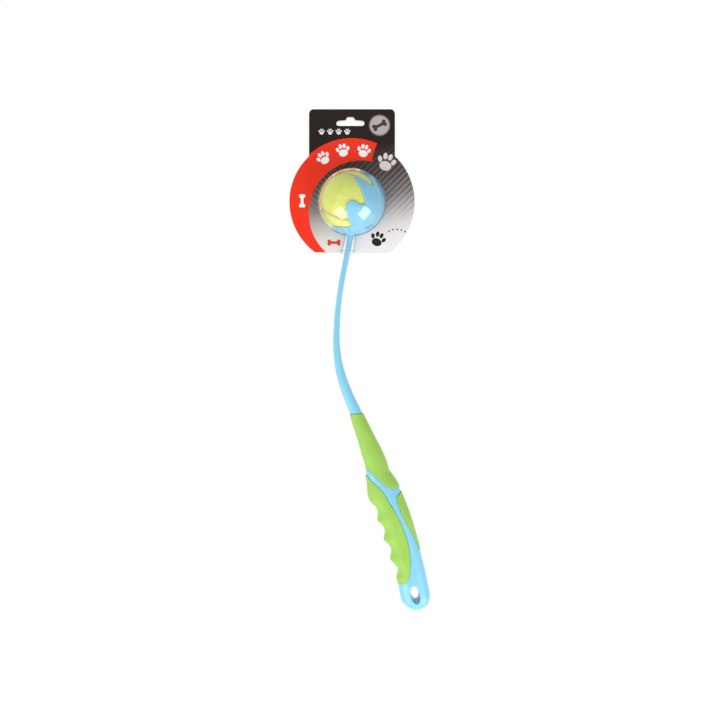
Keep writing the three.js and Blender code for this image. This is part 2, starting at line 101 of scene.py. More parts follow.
# Card and clear blisters
CARD_DISC = 66 * MM
CARD_TOP = 97.5 * MM
CARD_FOOT = 53.3 * MM
CARD_NEAR = 0.95 * MM
CARD_FAR = 1.55 * MM
HEADER_WIDTH = 90.6 * MM
HEADER_CORNER = 5 * MM
SLOT_WIDTH = 29.5 * MM
SLOT_HEIGHT = 5.3 * MM
SLOT_DROP = 14.9 * MM
SLOT_SHIFT = -1.7 * MM
HUMP_WIDTH = 9.5 * MM
HUMP_RISE = 3.8 * MM
BLISTER_WALL = 0.5 * MM
DOME_INNER = CUP_OUTER + CLEARANCE
DOME_OUTER = DOME_INNER + BLISTER_WALL
FLANGE_WIDTH = 20.5 * MM
FLANGE_SETBACK = 2.5 * MM
FLANGE_RADIUS = DOME_OUTER + FLANGE_WIDTH
FLANGE_FOOT = CARD_FOOT - FLANGE_SETBACK
FLANGE_FAR = 0.65 * MM
CHANNEL_TOP = 9.6 * MM
CHANNEL_FOOT = 12.6 * MM
CHANNEL_DEPTH = 9.5 * MM
DOME_FILLET = 1.2 * MM

# Sizes of the skins' cells
BODY_CELL = 0.76 * MM
GRIP_CELL = 0.6 * MM
BALL_CELL = 0.75 * MM
BLISTER_CELL = 0.75 * MM

# The thrower's line: share of it down, share of it to the right, and width and depth as shares of
# the handle's.
THROWER_SHARES = np.array([
    [0.074, -0.0036, 0.25, 0.63],
    [0.0933, -0.0052, 0.188, 0.45],
    [0.1337, -0.0132, 0.176, 0.41],
    [0.1926, -0.0245, 0.173, 0.39],
    [0.2515, -0.0331, 0.176, 0.385],
    [0.3104, -0.0375, 0.194, 0.385],
    [0.3497, -0.038, 0.215, 0.395],
    [0.389, -0.0342, 0.245, 0.41],
    [0.4282, -0.0255, 0.288, 0.44],
    [0.4675, -0.0121, 0.324, 0.475],
    [0.5067, 0.0052, 0.352, 0.51],
    [0.546, 0.0211, 0.436, 0.59],
    [0.5853, 0.0372, 0.521, 0.68],
    [0.6155, 0.0491, 0.609, 0.76],
    [0.6444, 0.0596, 0.652, 0.81],
    [0.6675, 0.0635, 0.745, 0.86],
    [0.6817, 0.0687, 0.836, 0.9],
    [0.7001, 0.0753, 0.97, 0.95],
    [0.7166, 0.0807, 0.997, 0.97],
    [0.7644, 0.0998, 1.003, 1],
    [0.8114, 0.1154, 0.991, 1],
    [0.8618, 0.1305, 0.955, 0.99],
    [0.9101, 0.1443, 0.91, 0.97],
    [0.948, 0.1517, 0.925, 0.95],
    [0.9767, 0.1575, 0.915, 0.93],
    [1, 0.1594, 0.9, 0.9],
])
# Edges of the soft grips: share of the line, and share of the half width to the right.
UPPER_GRIP_TOP = [[0.5128, -1.4], [0.5137, -1.1], [0.5178, -0.09], [0.5222, 1], [0.523, 1.4]]
UPPER_GRIP_FOOT = [
    [0.7102, 1.4], [0.7097, 1], [0.7071, 0.654], [0.6971, 0.314],
    [0.6802, 0.017], [0.6589, -0.484], [0.6515, -1.05], [0.6495, -1.4],
]
FINGER_GRIP_EDGE = [
    [0.659, -1.4], [0.6625, -1], [0.67, -0.72], [0.684, -0.4],
    [0.7059, -0.05], [0.7346, 0.086], [0.7627, 0.208], [0.7889, 0.3],
    [0.8149, 0.345], [0.8418, 0.33], [0.8736, 0.206], [0.9, -0.037],
    [0.9155, -0.24], [0.925, -0.595], [0.9245, -1], [0.9235, -1.4],
]
PALM_GRIP_EDGE = [
    [0.7195, 1.4], [0.7225, 0.97], [0.7285, 0.67], [0.7385, 0.55], [0.7624, 0.517],
    [0.7898, 0.61], [0.818, 0.79], [0.8432, 0.9], [0.8625, 1.02], [0.875, 1.4],
]
# The cup's rim on one side: degrees round the opening's axis, and degrees away from it.
RIM_DEGREES = [
    [0, 74], [17, 75.5], [28, 79], [33, 86], [36, 96], [40, 106], [45, 111], [50, 107],
    [52.5, 97], [54, 84], [58, 76.5], [63, 82.5], [68, 94], [78, 105.5], [85, 113.5],
    [90.5, 117], [94.5, 111], [95, 101.5], [97, 93.5], [104, 89.5], [112, 90.8], [118, 94.2],
    [127, 103], [137, 110], [144, 112.5], [151, 105], [156, 95.5], [166, 86], [180, 82],
]


# Lines and outlines
def smooth(points, count):
    """A smooth line through some points, in even steps between them."""
    points = np.asarray(points, float)
    ends = (2 * points[0] - points[1], 2 * points[-1] - points[-2])
    padded = np.vstack([ends[0], points, ends[1]])
    at = np.linspace(0, len(points) - 1, count)
    first = np.minimum(at.astype(int), len(points) - 2)
    t = (at - first)[:, None]
    a, b, c, d = (padded[first + step] for step in range(4))
    return b + t / 2 * (c - a + t * (2 * a - 5 * b + 4 * c - d + t * (3 * (b - c) + d - a)))


def through_table(table, at):
    """The table's columns at some values of its first one, on a smooth line through its rows."""
    shares, values = table[:, 0], table[:, 1:]
    secants = np.diff(values, axis=0) / np.diff(shares)[:, None]
    slopes = np.vstack([secants[:1], (secants[1:] + secants[:-1]) / 2, secants[-1:]])
    first = np.clip(np.searchsorted(shares, at) - 1, 0, len(shares) - 2)
    step = (shares[first + 1] - shares[first])[:, None]
    t = (at - shares[first])[:, None] / step
    rise = values[first + 1] - values[first]
    start, end = slopes[first] * step, slopes[first + 1] * step
    return values[first] + t * (start + t * (3 * rise - 2 * start - end + t * (start + end - 2 * rise)))


TOP_SHARE = THROWER_SHARES[0, 0]
NECK_DROP = CUP_INNER - NECK_TUCK
LINE_LENGTH = (REACH - NECK_DROP) / (1 - TOP_SHARE)
LINE_STEPS = 1500
LINE_TRIES = 5
PAST_END_SHARE = 0.1
line_shares = np.linspace(TOP_SHARE, 1, LINE_STEPS)
line_right, line_width, line_depth = through_table(THROWER_SHARES, line_shares).T
line_right *= LINE_LENGTH
line_slope = np.gradient(line_right, line_shares * LINE_LENGTH)
# Past its last row the line runs on straight, for the field of the round end.
line_shares = np.append(line_shares, 1 + PAST_END_SHARE)
line_right = np.append(line_right, line_right[-1] + line_slope[-1] * PAST_END_SHARE * LINE_LENGTH)
line_slope, line_width, line_depth = (
    np.append(values, values[-1]) for values in (line_slope, line_width, line_depth)
)


def drop_at(share):
    return NECK_DROP + (share - TOP_SHARE) * LINE_LENGTH


def on_line(share, values):
    return np.interp(share, line_shares, values)


def nearest_share(x, z):
    """Share of the thrower's line that is square across from a point."""
    share = TOP_SHARE + (-z - NECK_DROP) / LINE_LENGTH
    for _ in range(LINE_TRIES):
        slope = on_line(share, line_slope)
        right = on_line(share, line_right)
        ahead = ((x - right) * slope - z - drop_at(share)) / (1 + slope ** 2)
        share = np.clip(share + ahead / LINE_LENGTH, TOP_SHARE - PAST_END_SHARE, 1 + PAST_END_SHARE)
    return share


def groove_at(share):
    """How far the finger grooves cut in: round hollows with softened crests."""
    fingers = (share - GROOVE_START_SHARE) * LINE_LENGTH / GROOVE_PITCH
    inside = (fingers > 0) & (fingers < GROOVE_COUNT)
    wave = np.hypot(np.sin(np.pi * fingers), GROOVE_SOFT_SHARE) - GROOVE_SOFT_SHARE
    highest = math.hypot(1, GROOVE_SOFT_SHARE) - GROOVE_SOFT_SHARE
    return np.where(inside, GROOVE_DEPTH * wave / highest, 0)


def on_handle(shares):
    """Places of the handle's face from shares along the line and across the half width."""
    share, across = np.asarray(shares).T
    slope = on_line(share, line_slope)
    out = across * on_line(share, line_width) * HANDLE_WIDTH / 2 / np.hypot(1, slope)
    return np.column_stack([on_line(share, line_right) + out, out * slope - drop_at(share)])


def grip_outline(*edges):
    """A grip's outline: its edges across the handle, joined by runs beside the handle."""
    steps_a_point, run_steps = 6, 12
    outline = []
    for edge, following in zip(edges, edges[1:] + edges[:1]):
        curve = smooth(edge, steps_a_point * len(edge))
        run = np.linspace(edge[-1][0], following[0][0], run_steps)[1:-1]
        outline += [*curve, *([share, edge[-1][1]] for share in run)]
    return on_handle(outline)


GRIPS = {
    "upper_grip": grip_outline(UPPER_GRIP_TOP, UPPER_GRIP_FOOT),
    "finger_grip": grip_outline(FINGER_GRIP_EDGE),
    "palm_grip": grip_outline(PALM_GRIP_EDGE),
}


# Fields: distances from a surface, below 0 inside
# A section's share of its full size never counts as less than this, so that no field divides by 0.
LEAST_SHARE = 0.05
LEAST_SEAM_SLOPE = 0.2
RIM_STEPS = 360
WAYS_AT_ONCE = 4000
TINY = 1e-12


def joined(a, b, fillet):
    """The field of both shapes together, with a fillet where they meet."""
    blend = np.maximum(fillet - np.abs(a - b), 0) / fillet
    return np.minimum(a, b) - blend ** 2 * fillet / 4


def shared(a, b, rounding):
    """The field of what two shapes share, with its edges rounded over."""
    blend = np.maximum(rounding - np.abs(a - b), 0) / rounding
    return np.maximum(a, b) + blend ** 2 * rounding / 4


def outline_field(x, z, outline):
    closest = np.full(x.shape, np.inf)
    inside = np.zeros(x.shape, bool)
    for (ax, az), (bx, bz) in zip(outline, np.roll(outline, -1, axis=0)):
        run, rise = bx - ax, bz - az
        from_x, from_z = x - ax, z - az
        t = np.clip((from_x * run + from_z * rise) / (run ** 2 + rise ** 2), 0, 1)
        closest = np.minimum(closest, (from_x - t * run) ** 2 + (from_z - t * rise) ** 2)
        spans = (az > z) != (bz > z)
        inside ^= spans & ((from_x * rise < run * from_z) == (rise > 0))
    return np.where(inside, -1, 1) * np.sqrt(closest)


def skin_field(p):
    """The thrower's line swept with its rounded section, grooves and round end."""
    x, y, z = p.T
    share = nearest_share(x, z)
    slope = on_line(share, line_slope)
    across = (x - on_line(share, line_right) + (z + drop_at(share)) * slope) / np.hypot(1, slope)
    groove = np.where(across < 0, groove_at(share), 0)
    half_width = on_line(share, line_width) * HANDLE_WIDTH / 2 - groove
    half_depth = on_line(share, line_depth) * HANDLE_DEPTH / 2
    power = 2 / SECTION_SQUARENESS
    wide, deep = np.abs(across) / half_width, np.abs(y) / half_depth
    size = np.maximum((wide ** power + deep ** power) ** (1 / power), LEAST_SHARE)
    into_end = np.maximum(drop_at(share) - (REACH - END_TRIM - END_ROUND), 0) / END_ROUND
    full = np.hypot(size, into_end)
    steep = np.hypot(wide ** (power - 1) / half_width, deep ** (power - 1) / half_depth)
    steep = np.hypot(steep * size ** (1 - power) * size, into_end / END_ROUND) / full
    return (full - 1) / np.maximum(steep, 1 / HANDLE_WIDTH)


opening_axis = np.array([-math.cos(CUP_TILT), 0, math.sin(CUP_TILT)])
opening_top = np.array([math.sin(CUP_TILT), 0, math.cos(CUP_TILT)])
rim_around, rim_away = np.radians(smooth(RIM_DEGREES, RIM_STEPS)).T
rim_line = np.column_stack([
    np.cos(rim_away),
    np.sin(rim_away) * np.cos(rim_around),
    np.sin(rim_away) * np.sin(rim_around),
])


def opening_field(p):
    """The cone of rays from the ball's centre that the cup leaves open; above 0 inside it."""
    radius = np.linalg.norm(p, axis=1)
    way = p / radius[:, None]
    way = np.column_stack([way @ opening_axis, way @ opening_top, np.abs(way[:, 1])])
    parts = np.array_split(way, len(way) // WAYS_AT_ONCE + 1)
    nearest = np.concatenate([np.argmax(part @ rim_line.T, axis=1) for part in parts])
    distance = np.full(len(p), np.inf)
    for first, second in ((nearest - 1, nearest), (nearest, nearest + 1)):
        a = rim_line[np.clip(first, 0, len(rim_line) - 1)]
        run = rim_line[np.clip(second, 0, len(rim_line) - 1)] - a
        t = np.sum((way - a) * run, axis=1) / np.maximum(np.sum(run ** 2, axis=1), TINY)
        off = way - a - np.clip(t, 0, 1)[:, None] * run
        distance = np.minimum(distance, np.linalg.norm(off, axis=1))
    around = np.arctan2(way[:, 2], way[:, 1])
    inside = np.arccos(np.clip(way[:, 0], -1, 1)) < np.interp(around, rim_around, rim_away)
    return np.where(inside, 1, -1) * distance * radius


def hole_field(x, z):
    """The lanyard hole, an ellipse along the line."""
    slope = on_line(HOLE_SHARE, line_slope)
    right, down = x - on_line(HOLE_SHARE, line_right), -z - drop_at(HOLE_SHARE)
    across = (right - down * slope) / math.hypot(1, slope)
    along = (down + right * slope) / math.hypot(1, slope)
    wide, long = across / (HOLE_WIDTH / 2), along / (HOLE_LENGTH / 2)
    size = np.maximum(np.hypot(wide, long), LEAST_SHARE)
    return (size - 1) * size / np.hypot(wide / (HOLE_WIDTH / 2), long / (HOLE_LENGTH / 2))


def thrower_field(p):
    x, y, z = p.T
    radius = np.linalg.norm(p, axis=1)
    skin = skin_field(p)
    body = joined(radius - CUP_OUTER, skin, NECK_FILLET)
    by_cup = (radius < CUP_OUTER + 3 * RIM_ROUND) & (radius > CUP_INNER - 3 * RIM_ROUND)
    opening = np.full(len(p), -HANDLE_WIDTH)
    opening[by_cup] = opening_field(p[by_cup])
    body = shared(body, opening, RIM_ROUND)
    body = shared(body, CUP_INNER - radius, RIM_ROUND)
    by_skin = np.abs(skin + GRIP_DEPTH / 2) < 4 * GRIP_DEPTH
    for outline in GRIPS.values():
        beside = outline_field(x[by_skin], z[by_skin], outline)
        recess = np.maximum(beside, -skin[by_skin] - GRIP_DEPTH)
        body[by_skin] = shared(body[by_skin], -recess, RECESS_ROUND)
    return shared(body, -hole_field(x, z), HOLE_ROUND)


def grip_field(outline):
    def field(p):
        skin = skin_field(p)
        pad = shared(skin - GRIP_PROUD, CLEARANCE - GRIP_DEPTH - skin, RECESS_ROUND)
        return shared(pad, outline_field(p[:, 0], p[:, 2], outline) + GRIP_GAP, GRIP_ROUND)
    return field


def seam_side(p):
    """Distance along the ball from its seam, above 0 on the second panel's side."""
    unit = p @ BALL_TURN / np.linalg.norm(p, axis=1)[:, None]
    x, y, z = unit.T
    # The seam's line lies where twice x times y is this factor times the cube of z.
    factor = SEAM_SHORT_SHARE / SEAM_LONG_SHARE ** 1.5
    steep = np.column_stack([2 * y, 2 * x, -3 * factor * z ** 2])
    steep -= np.sum(steep * unit, axis=1)[:, None] * unit
    steepness = np.maximum(np.linalg.norm(steep, axis=1), LEAST_SEAM_SLOPE)
    return (2 * x * y - factor * z ** 3) / steepness * BALL_RADIUS


def panel_field(side):
    def field(p):
        radius = np.linalg.norm(p, axis=1)
        shell = np.abs(radius - BALL_RADIUS + FELT_THICKNESS / 2) - FELT_THICKNESS / 2
        return shared(shell, SEAM_WIDTH / 2 + CLEARANCE - side * seam_side(p), FELT_ROUND)
    return field


def blister_field(p):
    """The outside of a blister's sheet: dome, neck channel and flange, risen along Y."""
    x, y, z = p.T
    dome = np.linalg.norm(p, axis=1) - DOME_OUTER
    share = TOP_SHARE + (-z - NECK_DROP) / LINE_LENGTH
    width = np.interp(-z, [DOME_OUTER, CARD_FOOT], [CHANNEL_TOP, CHANNEL_FOOT]) + 2 * BLISTER_WALL
    sides = np.abs(x - on_line(share, line_right)) - width / 2
    channel = shared(sides, y - CHANNEL_DEPTH, 2 * DOME_FILLET)
    channel = shared(channel, z + DOME_INNER, DOME_FILLET)
    return joined(joined(dome, channel, DOME_FILLET), y - FLANGE_FAR, DOME_FILLET)


# Skins
CORNERS = np.array([[i, j, k] for i in (0, 1) for j in (0, 1) for k in (0, 1)])
EDGES = [
    (a, b) for a in range(8) for b in range(a + 1, 8) if np.abs(CORNERS[a] - CORNERS[b]).sum() == 1
]
BLOCK = 4
NEAR_BLOCKS = 1.6
POINTS_AT_ONCE = 200000
SLOPE_REACH = 0.05 * MM
LEAST_SLOPE = 0.5
DRAWS = 3
EVENINGS = 2


def grid_places(counts):
    return np.stack(np.meshgrid(*map(np.arange, counts), indexing="ij"), -1).reshape(-1, 3)


def sampled(field, low, counts, cell):
    """The field on a grid, worked out in full only in the blocks near its surface."""
    blocks = -(-counts // BLOCK)
    starts = grid_places(blocks) * BLOCK
    rough = field(low + (starts + (BLOCK - 1) / 2) * cell)
    near = np.abs(rough) < BLOCK * cell * NEAR_BLOCKS
    values = rough.reshape(blocks)
    for axis in range(3):
        values = np.repeat(values, BLOCK, axis=axis)
    fine = (starts[near][:, None] + grid_places([BLOCK] * 3)).reshape(-1, 3)
    parts = np.array_split(fine, len(fine) // POINTS_AT_ONCE + 1)
    values[tuple(fine.T)] = np.concatenate([field(low + part * cell) for part in parts])
    return values


def crossing_points(values, cells):
    """In each cell, the middle of the places where its edges cross the surface."""
    corner_values = np.stack([values[tuple((cells + corner).T)] for corner in CORNERS], axis=1)
    total = np.zeros((len(cells), 3))
    crossings = np.zeros(len(cells))
    for a, b in EDGES:
        first, second = corner_values[:, a], corner_values[:, b]
        crossed = (first < 0) != (second < 0)
        t = np.where(crossed, first / np.where(crossed, first - second, 1), 0)[:, None]
        total += np.where(crossed[:, None], CORNERS[a] + t * (CORNERS[b] - CORNERS[a]), 0)
        crossings += crossed
    return cells + total / crossings[:, None]


def faces_round_edges(inside, number):
    """A four-sided face round each grid edge that crosses the surface, from its cells' numbers."""
    faces = []
    for axis in range(3):
        one, two = (axis + 1) % 3, (axis + 2) % 3
        start = inside.take(range(number.shape[axis]), axis=axis)
        end = inside.take(range(1, number.shape[axis] + 1), axis=axis)
        crossed = np.argwhere(start != end)
        for across in (one, two):
            crossed = crossed[(crossed[:, across] > 0) & (crossed[:, across] < number.shape[across])]
        around = []
        for back_one, back_two in ((1, 1), (0, 1), (0, 0), (1, 0)):
            place = crossed.copy()
            place[:, one] -= back_one
            place[:, two] -= back_two
            around.append(number[tuple(place.T)])
        ring = np.column_stack(around)
        outward = start[tuple(crossed.T)]
        faces.append(np.where(outward[:, None], ring, ring[:, ::-1]))
    return np.vstack(faces)


def drawn_on(field, points, cell):
    """Points moved onto the surface of a field, along its slope."""
    for _ in range(DRAWS):
        slope = np.column_stack([
            (field(points + step) - field(points - step)) / (2 * SLOPE_REACH)
            for step in np.eye(3) * SLOPE_REACH
        ])
        move = field(points) / np.maximum(np.sum(slope ** 2, axis=1), LEAST_SLOPE ** 2)
        points = points - np.clip(move, -cell / 2, cell / 2)[:, None] * slope
    return points


def evened(field, points, faces, cell):
    """Points moved to the middle of their neighbours, and drawn back onto the surface."""
    sides = np.vstack([faces[:, [0, 1]], faces[:, [1, 2]], faces[:, [2, 3]], faces[:, [3, 0]]])
    neighbours = np.bincount(sides[:, 0], minlength=len(points))[:, None]
    for _ in range(EVENINGS):
        around = np.zeros_like(points)
        np.add.at(around, sides[:, 0], points[sides[:, 1]])
        points = np.where(neighbours > 0, around / np.maximum(neighbours, 1), points)
        points = drawn_on(field, points, cell)
    return points


def skin_of(field, low, high, cell):
    """Points and four-sided faces of a skin over a field's surface, in even cells."""
    low, high = np.array(low, float), np.array(high, float)
    counts = np.ceil((high - low) / cell).astype(int) + 1
    values = sampled(field, low, counts, cell)
    inside = values < 0
    shape = np.array(values.shape) - 1
    wide, deep, tall = shape
    count = sum(inside[i : i + wide, j : j + deep, k : k + tall].astype(np.int8) for i, j, k in CORNERS)
    cells = np.argwhere((count > 0) & (count < len(CORNERS)))
    points = low + crossing_points(values, cells) * cell
    number = np.full(shape, -1)
    number[tuple(cells.T)] = np.arange(len(cells))
    faces = faces_round_edges(inside, number)
    return evened(field, points, faces, cell), faces


def mesh_piece(name, points, faces, finish):
    """A smooth object from points round the ball's centre; finish is its material."""
    mesh = bpy.data.meshes.new(name)
    mesh.from_pydata((np.asarray(points) + BALL).tolist(), [], [list(map(int, face)) for face in faces])
    mesh.validate()
    mesh.polygons.foreach_set("use_smooth", [True] * len(mesh.polygons))
    mesh.materials.append(finish)
    piece = bpy.data.objects.new(name, mesh)
    bpy.context.scene.collection.objects.link(piece)
    return piece


def finished(piece, name):
    """A piece made a plain mesh at the origin, with its modifiers applied, under this name."""
    bpy.context.view_layer.update()
    graph = bpy.context.evaluated_depsgraph_get()
    mesh = bpy.data.meshes.new_from_object(piece.evaluated_get(graph))
    bpy.data.objects.remove(piece)
    plain = bpy.data.objects.new(name, mesh)
    bpy.context.scene.collection.objects.link(plain)
    return plain


# Materials
def colour(code):
    """A hex colour as linear red, green and blue, with an alpha of 1."""
    channels = [int(code[i : i + 2], 16) / 255 for i in (1, 3, 5)]
    return (*(c / 12.92 if c <= 0.04045 else ((c + 0.055) / 1.055) ** 2.4 for c in channels), 1)


def new_material(name):
    made = bpy.data.materials.new(name)
    made.use_nodes = True
    made.node_tree.nodes.clear()
    return made, made.node_tree


def node(tree, kind, settings=None, inputs=None):
    """Adds a node. Its inputs are given by name or number, each as a value or a socket to link."""
    added = tree.nodes.new(kind)
    for name, value in (settings or {}).items():
        setattr(added, name, value)
    for name, value in (inputs or {}).items():
        if isinstance(value, bpy.types.NodeSocket):
            tree.links.new(value, added.inputs[name])
        else:
            added.inputs[name].default_value = value
    return added


def in_place(tree, size):
    """Object coordinates, scaled so that a step of 1 is this size in metres."""
    place = node(tree, "ShaderNodeTexCoord").outputs["Object"]
    return node(tree, "ShaderNodeMapping", {}, {"Vector": place, "Scale": (1 / size,) * 3}).outputs[0]


def clouded(tree, size, low, high):
    """Soft clouds of this size in two colours: their shade from 0 to 1, and their colour."""
    clouds = node(tree, "ShaderNodeTexNoise", {}, {"Vector": in_place(tree, size), "Scale": 1, "Detail": 2})
    tint = node(tree, "ShaderNodeMix", {"data_type": "RGBA"}, {0: clouds.outputs[0], 6: low, 7: high})
    return clouds.outputs[0], tint.outputs[2]


def grained(tree, size, detail, strength, depth):
    """An uneven grain of this size: its shade from 0 to 1, and the normal that its bumps give."""
    grain = node(tree, "ShaderNodeTexNoise", {}, {
        "Vector": in_place(tree, size), "Scale": 1, "Detail": detail,
    })
    bump = node(tree, "ShaderNodeBump", {}, {
        "Strength": strength, "Distance": depth, "Height": grain.outputs[0],
    })
    return grain.outputs[0], bump.outputs[0]


def surfaced(made, inputs):
    """The material with one principled surface that has these inputs."""
    shader = node(made.node_tree, "ShaderNodeBsdfPrincipled", {}, inputs)
    node(made.node_tree, "ShaderNodeOutputMaterial", {}, {"Surface": shader.outputs[0]})
    return made


def moulded_polypropylene():
    """Satin polypropylene from a steel mould: faint flow clouds, and a very fine spark-eroded ripple."""
    made, tree = new_material("moulded_polypropylene")
    clouds, tint = clouded(tree, 38 * MM, colour("#83CCEB"), colour("#90D6F2"))
    _, normal = grained(tree, 1.4 * MM, detail=3, strength=0.12, depth=0.15 * MM)
    rough = node(tree, "ShaderNodeMapRange", {}, {0: clouds, 3: 0.3, 4: 0.4})
    return surfaced(made, {
        "Base Color": tint, "Roughness": rough.outputs[0], "Normal": normal,
        "IOR": 1.49, "Subsurface Weight": 0.08, "Subsurface Scale": 3 * MM,
    })


def moulded_soft_rubber():
    """Soft thermoplastic rubber with the mould's matt stipple, drawn a little coarser than the real
    grain of a third of a millimetre so that it shows."""
    made, tree = new_material("moulded_soft_rubber")
    _, tint = clouded(tree, 24 * MM, colour("#95C84A"), colour("#A3D25A"))
    stipple = node(tree, "ShaderNodeTexVoronoi", {}, {"Vector": in_place(tree, 0.7 * MM), "Scale": 1})
    bump = node(tree, "ShaderNodeBump", {}, {
        "Strength": 0.3, "Distance": 0.12 * MM, "Height": stipple.outputs["Distance"],
    })
    return surfaced(made, {
        "Base Color": tint, "Roughness": 0.58, "Normal": bump.outputs[0],
        "IOR": 1.5, "Sheen Weight": 0.08, "Subsurface Weight": 0.05, "Subsurface Scale": 2 * MM,
    })


def brushed_felt():
    """Brushed wool and nylon felt: matted fibres in two close shades under a soft nap."""
    made, tree = new_material("brushed_felt")
    mats = node(tree, "ShaderNodeTexNoise", {}, {
        "Vector": in_place(tree, 1.6 * MM), "Scale": 1, "Detail": 4, "Distortion": 1.2,
    })
    fibre = node(tree, "ShaderNodeMapRange", {}, {0: mats.outputs[0], 1: 0.3, 2: 0.7})
    shade = node(tree, "ShaderNodeMix", {"data_type": "RGBA"}, {
        0: fibre.outputs[0], 6: colour("#F0F24E"), 7: colour("#FFFF8E"),
    })
    _, tint = clouded(tree, 14 * MM, shade.outputs[2], colour("#FCFD72"))
    bump = node(tree, "ShaderNodeBump", {}, {
        "Strength": 0.7, "Distance": 0.4 * MM, "Height": mats.outputs[0],
    })
    return surfaced(made, {
        "Base Color": tint, "Roughness": 0.95, "Normal": bump.outputs[0],
        "Sheen Weight": 0.8, "Sheen Roughness": 0.5, "Specular IOR Level": 0.2,
    })


def vulcanised_rubber(name, light, dark, grain_size):
    """Vulcanised rubber: dull, faintly mottled, with a fine grain from its mould or its cord."""
    made, tree = new_material(name)
    mottle, normal = grained(tree, grain_size, detail=3, strength=0.4, depth=0.2 * MM)
    tint = node(tree, "ShaderNodeMix", {"data_type": "RGBA"}, {0: mottle, 6: colour(dark), 7: colour(light)})
    return surfaced(made, {"Base Color": tint.outputs[2], "Roughness": 0.75, "Normal": normal})


def thermoformed_film():
    """Clear thermoformed film: glossy, colourless, a little wavy from the mould. Lamps and
    scattered light pass it unbent, so that what it covers is lit as in the open."""
    made, tree = new_material("thermoformed_film")
    _, normal = grained(tree, 16 * MM, detail=2, strength=0.25, depth=0.25 * MM)
    film = node(tree, "ShaderNodeBsdfPrincipled", {}, {
        "Base Color": colour("#FBFDFE"), "Roughness": 0.03, "IOR": 1.5,
        "Transmission Weight": 1.0, "Normal": normal,
    })
    clear = node(tree, "ShaderNodeBsdfTransparent", {}, {"Color": colour("#F4F8FA")})
    path = node(tree, "ShaderNodeLightPath")
    unbent = node(tree, "ShaderNodeMath", {"operation": "MAXIMUM"}, {
        0: path.outputs["Is Shadow Ray"], 1: path.outputs["Is Diffuse Ray"],
    })
    mixed = node(tree, "ShaderNodeMixShader", {}, {
        0: unbent.outputs[0], 1: film.outputs[0], 2: clear.outputs[0],
    })
    node(tree, "ShaderNodeOutputMaterial", {}, {"Surface": mixed.outputs[0]})
    return made


def raw_board():
    """Uncoated board where it is cut or unprinted: off-white, with a short grey fibre."""
    made, tree = new_material("raw_board")
    fibre, normal = grained(tree, 0.9 * MM, detail=4, strength=0.3, depth=0.08 * MM)
    tint = node(tree, "ShaderNodeMix", {"data_type": "RGBA"}, {
        0: fibre, 6: colour("#D8D2C8"), 7: colour("#F2EEE8"),
    })
    return surfaced(made, {"Base Color": tint.outputs[2], "Roughness": 0.85, "Normal": normal})


# The card's print. Its places are in millimetres, right of and above the ball's centre.
INK_EDGE = 0.12


def stamp_group(name, spots, bars):
    """A node group that inks ellipses [x, z, wide, tall, turn] and upright bars [x, z, wide, tall]."""
    group = bpy.data.node_groups.new(name, "ShaderNodeTree")
    group.interface.new_socket("Place", in_out="INPUT", socket_type="NodeSocketVector")
    group.interface.new_socket("Ink", in_out="OUTPUT", socket_type="NodeSocketFloat")
    place = node(group, "NodeGroupInput").outputs[0]
    masks = []
    for x, z, wide, tall, turn in spots:
        local = node(group, "ShaderNodeMapping", {"vector_type": "TEXTURE"}, {
            "Vector": place, "Location": (x, 0, z), "Rotation": (0, math.radians(turn), 0),
            "Scale": (wide / 2, 1, tall / 2),
        })
        size = node(group, "ShaderNodeVectorMath", {"operation": "LENGTH"}, {0: local.outputs[0]})
        soft = 2 * INK_EDGE / wide
        masks.append(node(group, "ShaderNodeMapRange", {}, {
            0: size.outputs["Value"], 1: 1 - soft, 2: 1 + soft, 3: 1, 4: 0,
        }))
    for x, z, wide, tall in bars:
        local = node(group, "ShaderNodeVectorMath", {"operation": "SUBTRACT"}, {0: place, 1: (x, 0, z)})
        far = node(group, "ShaderNodeVectorMath", {"operation": "ABSOLUTE"}, {0: local.outputs[0]})
        past = node(group, "ShaderNodeVectorMath", {"operation": "SUBTRACT"}, {
            0: far.outputs[0], 1: (wide / 2, 0, tall / 2),
        })
        parts = node(group, "ShaderNodeSeparateXYZ", {}, {0: past.outputs[0]})
        out = node(group, "ShaderNodeMath", {"operation": "MAXIMUM"}, {
            0: parts.outputs[0], 1: parts.outputs[2],
        })
        masks.append(node(group, "ShaderNodeMapRange", {}, {
            0: out.outputs[0], 1: -INK_EDGE, 2: INK_EDGE, 3: 1, 4: 0,
        }))
    ink = masks[0]
    for mask in masks[1:]:
        ink = node(group, "ShaderNodeMath", {"operation": "MAXIMUM"}, {
            0: ink.outputs[0], 1: mask.outputs[0],
        })
    node(group, "NodeGroupOutput", {}, {0: ink.outputs[0]})
    return group


PAW = stamp_group("paw_stamp", [
    [0, -2.2, 8.4, 6.6, 0], [-4.9, 1.6, 3, 4.4, -22], [-1.8, 4.4, 3, 4.6, -8],
    [1.8, 4.4, 3, 4.6, 8], [4.9, 1.6, 3, 4.4, 22],
], [])
BONE = stamp_group("bone_stamp", [
    [-6, 1.7, 4.4, 4.4, 0], [-6, -1.7, 4.4, 4.4, 0], [6, 1.7, 4.4, 4.4, 0], [6, -1.7, 4.4, 4.4, 0],
], [[0, 0, 12, 3.4]])
DOT = stamp_group("dot_stamp", [[0, 0, 2, 2, 0]], [])


def on_arc(x, z, half_wide, half_tall, degrees):
    """A place on an ellipse round x and z."""
    angle = math.radians(degrees)
    return x + half_wide * math.cos(angle), z + half_tall * math.sin(angle)


